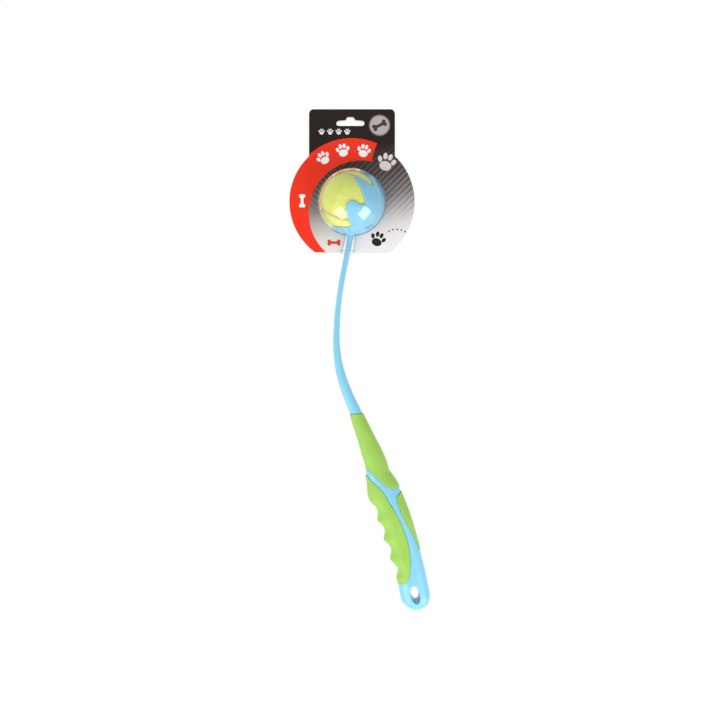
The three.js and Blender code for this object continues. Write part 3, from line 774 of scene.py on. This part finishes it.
# Between the ground's foot and head, a millimetre to the right counts as this many upwards.
GROUND_LEAN = -0.25
GROUND_FOOT = -55
GROUND_HEAD = 95
GROUND_STOPS = [
    (0.0, "#F6F1F0"), (0.1, "#ECE6E4"), (0.2, "#D2CBC9"),
    (0.35, "#968C8A"), (0.52, "#6A5F5C"), (0.72, "#241B19"),
]
STRIPE_PITCH = 6.6
STRIPE_MIDDLE = -9
# A stripe's edges are where its wave is between these.
STRIPE_EDGE_LOW = 0.25
STRIPE_EDGE_HIGH = 0.6
# The stripes start at one height and have their full share of ink from another.
STRIPES_START = -20
STRIPES_FULL = 30
STRIPE_SHARE = 0.8
STRIPE_INK = "#2B2322"
SWEEP_INK = "#F93720"
# The sweep lies inside the first disc and outside the two others.
SWEEP_DISC = ((0, 0), 67)
SWEEP_HOLES = (((10, -12), 55.5), ((100, 30), 80))
PAW_RING = 54.5
DARK_INK = "#2A2221"
# Each motif's stamp, ink, place, size and turn in degrees, in the order that they are laid.
MOTIFS = [
    *(
        (PAW, "#FFFFFF", on_arc(0, 0, PAW_RING, PAW_RING, degrees), 1.1, 90 - degrees)
        for degrees in (77, 100, 123)
    ),
    (BONE, "#FFFFFF", (-52.5, 1), 0.85, 90),
    *((PAW, "#F4F0EE", (-32 + 9 * step, 73.5), 0.5, 0) for step in range(4)),
    (DOT, "#BDB6B3", (29, 80.5), 10.4, 0),
    (BONE, "#4A403E", (29, 80.5), 0.95, -28),
    (PAW, "#EDE3DF", (36, 41), 1.5, 16),
    (BONE, "#E2402C", (-19, -43), 0.85, 0),
    (PAW, DARK_INK, (27, -40), 1.25, 22),
    *((DOT, DARK_INK, on_arc(47, -45, 17, 16, 118 - 15 * step), 0.9, 0) for step in range(5)),
]


def stamped(tree, below, place, group, ink, spot, size, turn):
    """Lays one motif in an ink over a colour."""
    x, z = spot
    local = node(tree, "ShaderNodeMapping", {"vector_type": "TEXTURE"}, {
        "Vector": place, "Location": (x, 0, z), "Rotation": (0, math.radians(turn), 0), "Scale": (size,) * 3,
    })
    motif = node(tree, "ShaderNodeGroup", {"node_tree": group}, {0: local.outputs[0]})
    return node(tree, "ShaderNodeMix", {"data_type": "RGBA"}, {
        0: motif.outputs[0], 6: below, 7: colour(ink),
    }).outputs[2]


def in_disc(tree, place, centre, radius, edge):
    """1 inside a disc of the print and 0 outside it; the other way round with a negative edge."""
    x, z = centre
    away = node(tree, "ShaderNodeVectorMath", {"operation": "DISTANCE"}, {0: place, 1: (x, 0, z)})
    return node(tree, "ShaderNodeMapRange", {}, {
        0: away.outputs["Value"], 1: radius + edge, 2: radius - edge,
    }).outputs[0]


def faded_ground(tree, x, z):
    """The ground's colour, from a pale foot to a dark head."""
    lean = node(tree, "ShaderNodeMath", {"operation": "MULTIPLY_ADD"}, {0: x, 1: GROUND_LEAN, 2: z})
    height = node(tree, "ShaderNodeMapRange", {}, {0: lean.outputs[0], 1: GROUND_FOOT, 2: GROUND_HEAD})
    ramp = node(tree, "ShaderNodeValToRGB", {}, {0: height.outputs[0]})
    stops = ramp.color_ramp.elements
    for index, (position, code) in enumerate(GROUND_STOPS):
        stop = stops[index] if index < 2 else stops.new(position)
        stop.position = position
        stop.color = colour(code)
    return ramp.outputs[0]


def chevron_stripes(tree, x, z):
    """How much ink the chevrons lay, which is less towards the foot."""
    aside = node(tree, "ShaderNodeMath", {"operation": "SUBTRACT"}, {0: x, 1: STRIPE_MIDDLE})
    aside = node(tree, "ShaderNodeMath", {"operation": "ABSOLUTE"}, {0: aside.outputs[0]})
    rise = node(tree, "ShaderNodeMath", {"operation": "SUBTRACT"}, {0: z, 1: aside.outputs[0]})
    turn = node(tree, "ShaderNodeMath", {"operation": "MULTIPLY"}, {
        0: rise.outputs[0], 1: 2 * math.pi / STRIPE_PITCH,
    })
    wave = node(tree, "ShaderNodeMath", {"operation": "SINE"}, {0: turn.outputs[0]})
    band = node(tree, "ShaderNodeMapRange", {}, {
        0: wave.outputs[0], 1: STRIPE_EDGE_LOW, 2: STRIPE_EDGE_HIGH,
    })
    fade = node(tree, "ShaderNodeMapRange", {}, {
        0: z, 1: STRIPES_START, 2: STRIPES_FULL, 3: 0, 4: STRIPE_SHARE,
    })
    return node(tree, "ShaderNodeMath", {"operation": "MULTIPLY"}, {
        0: band.outputs[0], 1: fade.outputs[0],
    }).outputs[0]


def sweep_share(tree, place):
    """1 inside the sweep and 0 outside it."""
    share = in_disc(tree, place, *SWEEP_DISC, INK_EDGE)
    for centre, radius in SWEEP_HOLES:
        outside = in_disc(tree, place, centre, radius, -INK_EDGE)
        share = node(tree, "ShaderNodeMath", {"operation": "MINIMUM"}, {0: share, 1: outside}).outputs[0]
    return share


def printed_board(name, mirrored):
    """Offset-printed board under a dull varnish: a dark head with chevron stripes that fade to a
    pale foot, a red sweep round the dome, and paws, bones, a round tag and a thrown ball's path."""
    made, tree = new_material(name)
    at = node(tree, "ShaderNodeTexCoord").outputs["Object"]
    across = -1 / MM if mirrored else 1 / MM
    place = node(tree, "ShaderNodeMapping", {}, {
        "Vector": at, "Location": (-BALL[0] * across, 0, -BALL[2] / MM), "Scale": (across, 0, 1 / MM),
    }).outputs[0]
    parts = node(tree, "ShaderNodeSeparateXYZ", {}, {0: place})
    x, z = parts.outputs[0], parts.outputs[2]
    ink = faded_ground(tree, x, z)
    for share, code in ((chevron_stripes(tree, x, z), STRIPE_INK), (sweep_share(tree, place), SWEEP_INK)):
        ink = node(tree, "ShaderNodeMix", {"data_type": "RGBA"}, {
            0: share, 6: ink, 7: colour(code),
        }).outputs[2]
    for group, motif_ink, spot, size, turn in MOTIFS:
        ink = stamped(tree, ink, place, group, motif_ink, spot, size, turn)
    _, normal = grained(tree, 2.5 * MM, detail=2, strength=0.1, depth=0.05 * MM)
    return surfaced(made, {
        "Base Color": ink, "Roughness": 0.45, "Normal": normal, "Specular IOR Level": 0.18,
    })


blue_plastic = moulded_polypropylene()
green_rubber = moulded_soft_rubber()
felt = brushed_felt()
seam_rubber = vulcanised_rubber("vulcanised_seam_rubber", "#F0D4A4", "#DDB986", 1.2 * MM)
core_rubber = vulcanised_rubber("vulcanised_core_rubber", "#4B4741", "#35322E", 3 * MM)
film = thermoformed_film()
board = raw_board()


# Thrower
def place_on(piece, body, slot, *nodes):
    """Puts a finished piece on its body, in place of CAD nodes."""
    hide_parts(*nodes)
    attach(piece, body)


def field_piece(name, field, low, high, cell, finish):
    points, faces = skin_of(field, low, high, cell)
    return mesh_piece(name, points, faces, finish)


def box_round(node_name, margin):
    """A CAD node's box round the ball's centre, grown a little."""
    low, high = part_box(node_name)
    return np.array(low) - BALL - margin, np.array(high) - BALL + margin


def make_thrower():
    low, high = box_round("thrower_body", 2 * BODY_CELL)
    body = field_piece("thrower_moulding", thrower_field, low, high, BODY_CELL, blue_plastic)
    place_on(body, "thrower", "blue_plastic", "thrower_body")
    for name, outline in GRIPS.items():
        low, high = box_round(name, 2 * GRIP_CELL)
        grip = field_piece(name + "_soft", grip_field(outline), low, high, GRIP_CELL, green_rubber)
        place_on(grip, "thrower", "soft_grip", name)


# Ball
NAP_LENGTH = 1.5 * MM
NAP_RADIUS = 0.09 * MM
NAP_PER_SQUARE_MM = 4
# Degrees from the opening's axis: the nap stands up in full up to the first, and past the second it
# is pressed down to this share, as it turns inside the cup there.
NAP_FREE = 65
NAP_PRESSED = 72
PRESSED_SHARE = 0.16
NAP_SHORT_SHARE = 0.6
# Radians that a fibre leans at most, and turns at most about its own length.
NAP_LEAN = 0.6
NAP_TURN = 6.28
# Only what lies less than this inside the ball's radius has nap, or has lumps.
NAP_BELOW = 0.3 * MM
LUMP_BELOW = 0.6 * MM
LUMP_SIZE = 2.2 * MM
LUMP_DEPTH = 0.12 * MM
# Increment, lacunarity and octaves of the lumps' noise
LUMP_NOISE = (0.8, 2.0, 3)
SEAM_STEPS = 240
BEAD_SIDES = 12


def geometry_tree(name, sizes):
    """A geometry tree with named inputs for its sizes."""
    tree = bpy.data.node_groups.new(name, "GeometryNodeTree")
    tree.interface.new_socket("Geometry", in_out="INPUT", socket_type="NodeSocketGeometry")
    tree.interface.new_socket("Geometry", in_out="OUTPUT", socket_type="NodeSocketGeometry")
    for size in sizes:
        tree.interface.new_socket(size, in_out="INPUT", socket_type="NodeSocketFloat")
    return tree, node(tree, "NodeGroupInput")


def with_tree(piece, tree, sizes):
    """The piece as the geometry tree makes it with these sizes, as a plain mesh."""
    modifier = piece.modifiers.new(tree.name, "NODES")
    modifier.node_group = tree
    for item in tree.interface.items_tree:
        if item.in_out == "INPUT" and item.name in sizes:
            modifier[item.identifier] = sizes[item.name]
    return finished(piece, piece.name)


def nap_tree():
    """Stands short tapered fibres on the faces that look outwards, and keeps the felt below them."""
    sizes = ["Fibre length", "Fibre radius", "Fibres per area", "Outside radius"]
    tree, given = geometry_tree("felt_nap", sizes)
    centre = node(tree, "ShaderNodeCombineXYZ", {}, {axis: BALL[axis] for axis in range(3)})
    place = node(tree, "GeometryNodeInputPosition")
    out = node(tree, "ShaderNodeVectorMath", {"operation": "SUBTRACT"}, {
        0: place.outputs[0], 1: centre.outputs[0],
    })
    distance = node(tree, "ShaderNodeVectorMath", {"operation": "LENGTH"}, {0: out.outputs[0]})
    outside = node(tree, "FunctionNodeCompare", {"data_type": "FLOAT", "operation": "GREATER_THAN"}, {
        0: distance.outputs["Value"], 1: given.outputs["Outside radius"],
    })
    spread = node(tree, "GeometryNodeDistributePointsOnFaces", {"distribute_method": "RANDOM"}, {
        "Mesh": given.outputs["Geometry"], "Selection": outside.outputs[0],
        "Density": given.outputs["Fibres per area"], "Seed": 7,
    })
    fibre = node(tree, "GeometryNodeMeshCone", {"fill_type": "NGON"}, {
        "Vertices": 3, "Radius Bottom": given.outputs["Fibre radius"], "Radius Top": 0.0,
        "Depth": given.outputs["Fibre length"],
    })
    lean = node(tree, "FunctionNodeRandomValue", {"data_type": "FLOAT_VECTOR"}, {
        0: (-NAP_LEAN, -NAP_LEAN, 0), 1: (NAP_LEAN, NAP_LEAN, NAP_TURN), "Seed": 11,
    })
    leaning = node(tree, "FunctionNodeEulerToRotation", {}, {0: lean.outputs[0]})
    turned = node(tree, "FunctionNodeRotateRotation", {"rotation_space": "LOCAL"}, {
        0: spread.outputs["Rotation"], 1: leaning.outputs[0],
    })
    size = node(tree, "FunctionNodeRandomValue", {"data_type": "FLOAT"}, {
        2: NAP_SHORT_SHARE, 3: 1.0, "Seed": 13,
    })
    way = node(tree, "ShaderNodeVectorMath", {"operation": "NORMALIZE"}, {0: out.outputs[0]})
    to_opening = node(tree, "ShaderNodeVectorMath", {"operation": "DOT_PRODUCT"}, {
        0: way.outputs[0], 1: tuple(opening_axis),
    })
    pressed = node(tree, "ShaderNodeMapRange", {}, {
        0: to_opening.outputs["Value"], 1: math.cos(math.radians(NAP_PRESSED)),
        2: math.cos(math.radians(NAP_FREE)), 3: PRESSED_SHARE, 4: 1.0,
    })
    tall = node(tree, "ShaderNodeMath", {"operation": "MULTIPLY"}, {
        0: size.outputs[1], 1: pressed.outputs[0],
    })
    scale = node(tree, "ShaderNodeCombineXYZ", {}, {
        0: size.outputs[1], 1: size.outputs[1], 2: tall.outputs[0],
    })
    stood = node(tree, "GeometryNodeInstanceOnPoints", {}, {
        "Points": spread.outputs["Points"], "Instance": fibre.outputs["Mesh"],
        "Rotation": turned.outputs[0], "Scale": scale.outputs[0],
    })
    together = node(tree, "GeometryNodeJoinGeometry")
    tree.links.new(given.outputs["Geometry"], together.inputs[0])
    tree.links.new(stood.outputs[0], together.inputs[0])
    real = node(tree, "GeometryNodeRealizeInstances", {}, {0: together.outputs[0]})
    dressed = node(tree, "GeometryNodeSetMaterial", {}, {0: real.outputs[0], "Material": felt})
    node(tree, "NodeGroupOutput", {}, {0: dressed.outputs[0]})
    return tree


def bead_tree():
    """Sweeps a round bead along a closed path."""
    tree, given = geometry_tree("seam_bead", ["Bead radius"])
    profile = node(tree, "GeometryNodeCurvePrimitiveCircle", {}, {
        "Resolution": BEAD_SIDES, "Radius": given.outputs["Bead radius"],
    })
    swept = node(tree, "GeometryNodeCurveToMesh", {}, {
        "Curve": given.outputs["Geometry"], "Profile Curve": profile.outputs[0],
    })
    smoothed = node(tree, "GeometryNodeSetShadeSmooth", {}, {0: swept.outputs[0]})
    real = node(tree, "GeometryNodeRealizeInstances", {}, {0: smoothed.outputs[0]})
    dressed = node(tree, "GeometryNodeSetMaterial", {}, {0: real.outputs[0], "Material": seam_rubber})
    node(tree, "NodeGroupOutput", {}, {0: dressed.outputs[0]})
    return tree


def felted(points):
    """The felt's own lumps, a tenth of a millimetre deep, on its outer face only."""
    moved = []
    for point in points:
        radius = np.linalg.norm(point)
        outer = radius > BALL_RADIUS - LUMP_BELOW
        lump = noise.fractal(Vector(point) / LUMP_SIZE, *LUMP_NOISE) if outer else 0
        moved.append(point * (1 + min(lump * LUMP_DEPTH, 0) / radius))
    return np.array(moved)


def make_felt_panels():
    tree = nap_tree()
    reach = BALL_RADIUS + 2 * BALL_CELL
    for name, side in (("felt_panel_a", -1), ("felt_panel_b", 1)):
        points, faces = skin_of(panel_field(side), [-reach] * 3, [reach] * 3, BALL_CELL)
        panel = mesh_piece(name + "_nap", felted(points), faces, felt)
        panel = with_tree(panel, tree, {
            "Fibre length": NAP_LENGTH, "Fibre radius": NAP_RADIUS,
            "Fibres per area": NAP_PER_SQUARE_MM / MM ** 2, "Outside radius": BALL_RADIUS - NAP_BELOW,
        })
        place_on(panel, "ball", "ball_felt", name)


def make_seam():
    """The rubber that fills the gap between the panels, as a bead along the seam's line."""
    turns = np.linspace(0, 2 * np.pi, SEAM_STEPS, endpoint=False)
    line = np.column_stack([
        SEAM_LONG_SHARE * np.cos(turns) + SEAM_SHORT_SHARE * np.cos(3 * turns),
        SEAM_LONG_SHARE * np.sin(turns) - SEAM_SHORT_SHARE * np.sin(3 * turns),
        2 * math.sqrt(SEAM_LONG_SHARE * SEAM_SHORT_SHARE) * np.sin(2 * turns),
    ])
    bead_radius = SEAM_WIDTH / 2 + CLEARANCE
    line_radius = BALL_RADIUS - SEAM_SINK / 2 - bead_radius
    path = bpy.data.curves.new("seam_path", "CURVE")
    path.dimensions = "3D"
    spline = path.splines.new("POLY")
    spline.points.add(len(turns) - 1)
    for spot, place in zip(spline.points, (line @ BALL_TURN.T * line_radius + BALL).tolist()):
        spot.co = (*place, 1)
    spline.use_cyclic_u = True
    bead = bpy.data.objects.new("ball_seam_bead", path)
    bpy.context.scene.collection.objects.link(bead)
    bead = with_tree(bead, bead_tree(), {"Bead radius": bead_radius})
    place_on(bead, "ball", "seam_rubber", "ball_seam")


def make_core():
    """The two halves under the felt keep their CAD shapes."""
    for name in ("ball_core_half_a", "ball_core_half_b"):
        core = frame["nodes"][name]
        core.data.materials.clear()
        core.data.materials.append(core_rubber)


# Card
EDGE_STEPS = 90
CORNER_STEPS = 12
KEYHOLE_STEPS = 160
CHANNEL_STEPS = 8
HUMP_STEPS = 24
HUMP_END_DEGREES = 8
SLOT_END_STEPS = 16
CUT_EDGE = 0.06 * MM
FACING = 0.9


def arc(x, z, radius, from_degrees, to_degrees, count):
    angles = np.radians(np.linspace(from_degrees, to_degrees, count))
    return np.column_stack([x + radius * np.cos(angles), z + radius * np.sin(angles)])


def card_outline():
    """The card's edge with the keyhole that the dome and the neck's channel come through."""
    half = HEADER_WIDTH / 2
    shoulder = math.degrees(math.acos(half / CARD_DISC))
    foot = math.degrees(math.asin(CARD_FOOT / CARD_DISC))
    corner_x, corner_z = half - HEADER_CORNER, CARD_TOP - HEADER_CORNER
    gap = BLISTER_WALL + CLEARANCE
    drops = np.linspace(DOME_OUTER, CARD_FOOT, CHANNEL_STEPS)
    centre = on_line(TOP_SHARE + (drops - NECK_DROP) / LINE_LENGTH, line_right)
    half_channel = np.interp(drops, [DOME_OUTER, CARD_FOOT], [CHANNEL_TOP, CHANNEL_FOOT]) / 2 + gap
    right = np.column_stack([centre + half_channel, -drops])
    left = np.column_stack([centre - half_channel, -drops])
    hole = DOME_OUTER + CLEARANCE
    start, end = (math.degrees(math.atan2(side[0][1], side[0][0])) for side in (right, left))
    return np.vstack([
        arc(0, 0, CARD_DISC, 180 + foot, 180 - shoulder, EDGE_STEPS),
        arc(-corner_x, corner_z, HEADER_CORNER, 180, 90, CORNER_STEPS),
        arc(corner_x, corner_z, HEADER_CORNER, 90, 0, CORNER_STEPS),
        arc(0, 0, CARD_DISC, shoulder, -foot, EDGE_STEPS),
        right[:0:-1],
        arc(0, 0, hole, start, end + 360, KEYHOLE_STEPS),
        left[1:],
    ])


def slot_outline():
    """The hanging slot with its round hump."""
    rounding = SLOT_HEIGHT / 2
    z = CARD_TOP - SLOT_DROP
    end = SLOT_WIDTH / 2 - rounding
    hump = arc(0, z + rounding, HUMP_WIDTH / 2, HUMP_END_DEGREES, 180 - HUMP_END_DEGREES, HUMP_STEPS)
    hump[:, 1] = np.minimum(hump[:, 1], z + rounding + HUMP_RISE)
    outline = np.vstack([
        arc(end, z, rounding, -90, 90, SLOT_END_STEPS),
        hump,
        arc(-end, z, rounding, 90, 270, SLOT_END_STEPS),
    ])
    outline[:, 0] += SLOT_SHIFT
    return outline


def make_card(name, body, side):
    """One printed layer: its outer face is print, the rest bare board."""
    flat = bpy.data.curves.new(name, "CURVE")
    flat.dimensions = "2D"
    flat.fill_mode = "BOTH"
    flat.extrude = (CARD_FAR - CARD_NEAR) / 2 - CUT_EDGE
    flat.bevel_depth = CUT_EDGE
    flat.bevel_resolution = 1
    flat.offset = -2 * CUT_EDGE
    for outline in (card_outline(), slot_outline()):
        spline = flat.splines.new("POLY")
        spline.points.add(len(outline) - 1)
        for spot, (x, z) in zip(spline.points, outline.tolist()):
            spot.co = (x, z, 0, 1)
        spline.use_cyclic_u = True
    sheet = bpy.data.objects.new(name, flat)
    bpy.context.scene.collection.objects.link(sheet)
    card = finished(sheet, name + "_board")
    middle = side * (CARD_NEAR + CARD_FAR) / 2
    points = np.empty(len(card.data.vertices) * 3)
    card.data.vertices.foreach_get("co", points)
    x, z, y = points.reshape(-1, 3).T
    card.data.vertices.foreach_set("co", (np.column_stack([x, middle - y, z]) + BALL).ravel())
    card.data.update()
    card.data.materials.clear()
    card.data.materials.append(printed_board(name + "_print", side > 0))
    card.data.materials.append(board)
    for face in card.data.polygons:
        face.material_index = 0 if face.normal.y * side > FACING else 1
        face.use_smooth = False
    place_on(card, body, "printed_card", name)


# Clear blisters
TRIM_ABOVE = 0.2 * MM


def make_blister(name, body, side):
    """A thermoformed half: one sheet, given its wall after it is trimmed to the flange."""
    reach = FLANGE_RADIUS + BLISTER_CELL
    low = [-reach, -BLISTER_CELL, -CARD_FOOT - 2 * BLISTER_CELL]
    high = [reach, DOME_OUTER + 2 * BLISTER_CELL, reach]
    points, faces = skin_of(blister_field, low, high, BLISTER_CELL)
    away = np.hypot(points[:, 0], points[:, 2])
    raised = points[:, 1] > FLANGE_FAR + TRIM_ABOVE
    kept = (points[:, 1] > 0) & (away < FLANGE_RADIUS) & (raised | (points[:, 2] > -FLANGE_FOOT))
    kept &= points[:, 2] > -CARD_FOOT
    faces = faces[kept[faces].all(axis=1)]
    used = np.unique(faces)
    renumbered = np.full(len(points), -1)
    renumbered[used] = np.arange(len(used))
    points, faces = points[used], renumbered[faces]
    if side < 0:
        points = points * [1, -1, 1]
        faces = faces[:, ::-1]
    blister = mesh_piece(name + "_film", points, faces, film)
    wall = blister.modifiers.new("wall", "SOLIDIFY")
    wall.thickness = BLISTER_WALL
    wall.offset = -1
    wall.use_even_offset = True
    place_on(finished(blister, blister.name), body, "clear_blister", name)


make_thrower()
make_felt_panels()
make_seam()
make_core()
make_card("front_card", "front_pack", -1)
make_card("back_card", "rear_pack", 1)
make_blister("front_blister", "front_pack", -1)
make_blister("rear_blister", "rear_pack", 1)


# Studio: a pale floor far below, a white surround that is brightest behind and to the left, and two
# square softboxes low in front, each turned a little about its own axis
FLOOR_DROP = 1.25
FLOOR_REACH = 3.0
FLOOR_GLOW = 0.6
SOFTBOX_DISTANCE = 1.3
SOFTBOX_SIDE = 0.78
SOFTBOX_POWER = 8.2
SOFTBOXES = {"left": ((-0.568, -0.480, -0.662), 15), "right": ((0.645, -0.412, -0.646), -15)}
BRIGHT_WAY = (-0.6, 0.75, -0.25)
SURROUND_DIM = 0.55
SURROUND_BRIGHT = 0.9
FRONT_MIRRORED = 0.2
# Along the bright way, the surround goes from dim to bright between these.
DIM_UP_TO = -0.6
BRIGHT_FROM = 0.7
# Along Y, what a mirror shows goes from the room in front to the white behind between these.
FRONT_UP_TO = 0.2
BEHIND_FROM = 0.8


def seen_directly(tree, mirrored=1.0):
    """1 for what the camera or clear film shows and mirrored for what a mirror shows, also through
    the film; 0 for light that falls on things."""
    path = node(tree, "ShaderNodeLightPath")
    seen = path.outputs["Is Camera Ray"]
    for ray in ("Is Glossy Ray", "Is Transmission Ray"):
        seen = node(tree, "ShaderNodeMath", {"operation": "MAXIMUM"}, {
            0: seen, 1: path.outputs[ray],
        }).outputs[0]
    share = node(tree, "ShaderNodeMapRange", {}, {0: path.outputs["Glossy Depth"], 3: 1.0, 4: mirrored})
    unscattered = node(tree, "ShaderNodeMath", {"operation": "LESS_THAN"}, {
        0: path.outputs["Diffuse Depth"], 1: 0.5,
    })
    for factor in (share, unscattered):
        seen = node(tree, "ShaderNodeMath", {"operation": "MULTIPLY"}, {
            0: seen, 1: factor.outputs[0],
        }).outputs[0]
    return seen


def make_surround():
    """A white world. A mirror shows it in full behind the object, and dimmer in front of it."""
    world = bpy.data.worlds.new("white_surround")
    bpy.context.scene.world = world
    world.use_nodes = True
    tree = world.node_tree
    tree.nodes.clear()
    way = node(tree, "ShaderNodeTexCoord").outputs["Generated"]
    turned = node(tree, "ShaderNodeVectorMath", {"operation": "DOT_PRODUCT"}, {0: way, 1: BRIGHT_WAY})
    shone = node(tree, "ShaderNodeMapRange", {}, {
        0: turned.outputs["Value"], 1: DIM_UP_TO, 2: BRIGHT_FROM, 3: SURROUND_DIM, 4: SURROUND_BRIGHT,
    })
    parts = node(tree, "ShaderNodeSeparateXYZ", {}, {0: way})
    behind = node(tree, "ShaderNodeMapRange", {}, {
        0: parts.outputs[1], 1: FRONT_UP_TO, 2: BEHIND_FROM, 3: FRONT_MIRRORED, 4: 1.0,
    })
    level = node(tree, "ShaderNodeMapRange", {}, {
        0: seen_directly(tree, behind.outputs[0]), 3: shone.outputs[0], 4: 1.0,
    })
    light = node(tree, "ShaderNodeBackground", {}, {
        "Color": colour("#FFFFFF"), "Strength": level.outputs[0],
    })
    node(tree, "ShaderNodeOutputWorld", {}, {"Surface": light.outputs[0]})


def matt_floor_paint():
    """Matt pale paint that glows where the camera or a mirror sees it, so that it ends up white."""
    made, tree = new_material("matt_floor_paint")
    matt = node(tree, "ShaderNodeBsdfDiffuse", {}, {"Color": colour("#E2E2E2")})
    glow = node(tree, "ShaderNodeEmission", {}, {"Color": colour("#FFFFFF"), "Strength": FLOOR_GLOW})
    both = node(tree, "ShaderNodeAddShader", {}, {0: matt.outputs[0], 1: glow.outputs[0]})
    mixed = node(tree, "ShaderNodeMixShader", {}, {
        0: seen_directly(tree), 1: matt.outputs[0], 2: both.outputs[0],
    })
    node(tree, "ShaderNodeOutputMaterial", {}, {"Surface": mixed.outputs[0]})
    return made


def make_floor():
    sweep = bpy.data.meshes.new("floor")
    corners = ((-1, -1), (1, -1), (1, 1), (-1, 1))
    places = [(x * FLOOR_REACH, y * FLOOR_REACH, -FLOOR_DROP) for x, y in corners]
    sweep.from_pydata(places, [], [(0, 1, 2, 3)])
    sweep.materials.append(matt_floor_paint())
    floor = bpy.data.objects.new("floor", sweep)
    bpy.context.scene.collection.objects.link(floor)


def make_softboxes():
    for side, (way, turn) in SOFTBOXES.items():
        lamp = bpy.data.lights.new(side + "_softbox", "AREA")
        lamp.shape = "SQUARE"
        lamp.size = SOFTBOX_SIDE
        lamp.energy = SOFTBOX_POWER
        box = bpy.data.objects.new(side + "_softbox", lamp)
        direction = Vector(way).normalized()
        own_turn = Quaternion((0, 0, 1), math.radians(turn))
        box.location = Vector(BALL) + direction * SOFTBOX_DISTANCE
        box.rotation_mode = "QUATERNION"
        box.rotation_quaternion = direction.to_track_quat("Z", "Y") @ own_turn
        bpy.context.scene.collection.objects.link(box)


# The photo's view, with the width of its frame at the thrower
CAMERA_DISTANCE = 0.85
PHOTO_WIDTH = 0.7594
CAMERA_RIGHT = -0.0412
CAMERA_UP = 0.1823
SENSOR_WIDTH = 36


def make_camera():
    lens = bpy.data.cameras.new("photo_camera")
    lens.sensor_width = SENSOR_WIDTH
    lens.lens = SENSOR_WIDTH * CAMERA_DISTANCE / PHOTO_WIDTH
    camera = bpy.data.objects.new("photo_camera", lens)
    camera.location = (CAMERA_RIGHT, -CAMERA_DISTANCE, CAMERA_UP)
    camera.rotation_euler = (math.pi / 2, 0, 0)
    bpy.context.scene.collection.objects.link(camera)
    bpy.context.scene.camera = camera


make_surround()
make_floor()
make_softboxes()
make_camera()
bpy.context.scene.view_settings.view_transform = "Standard"
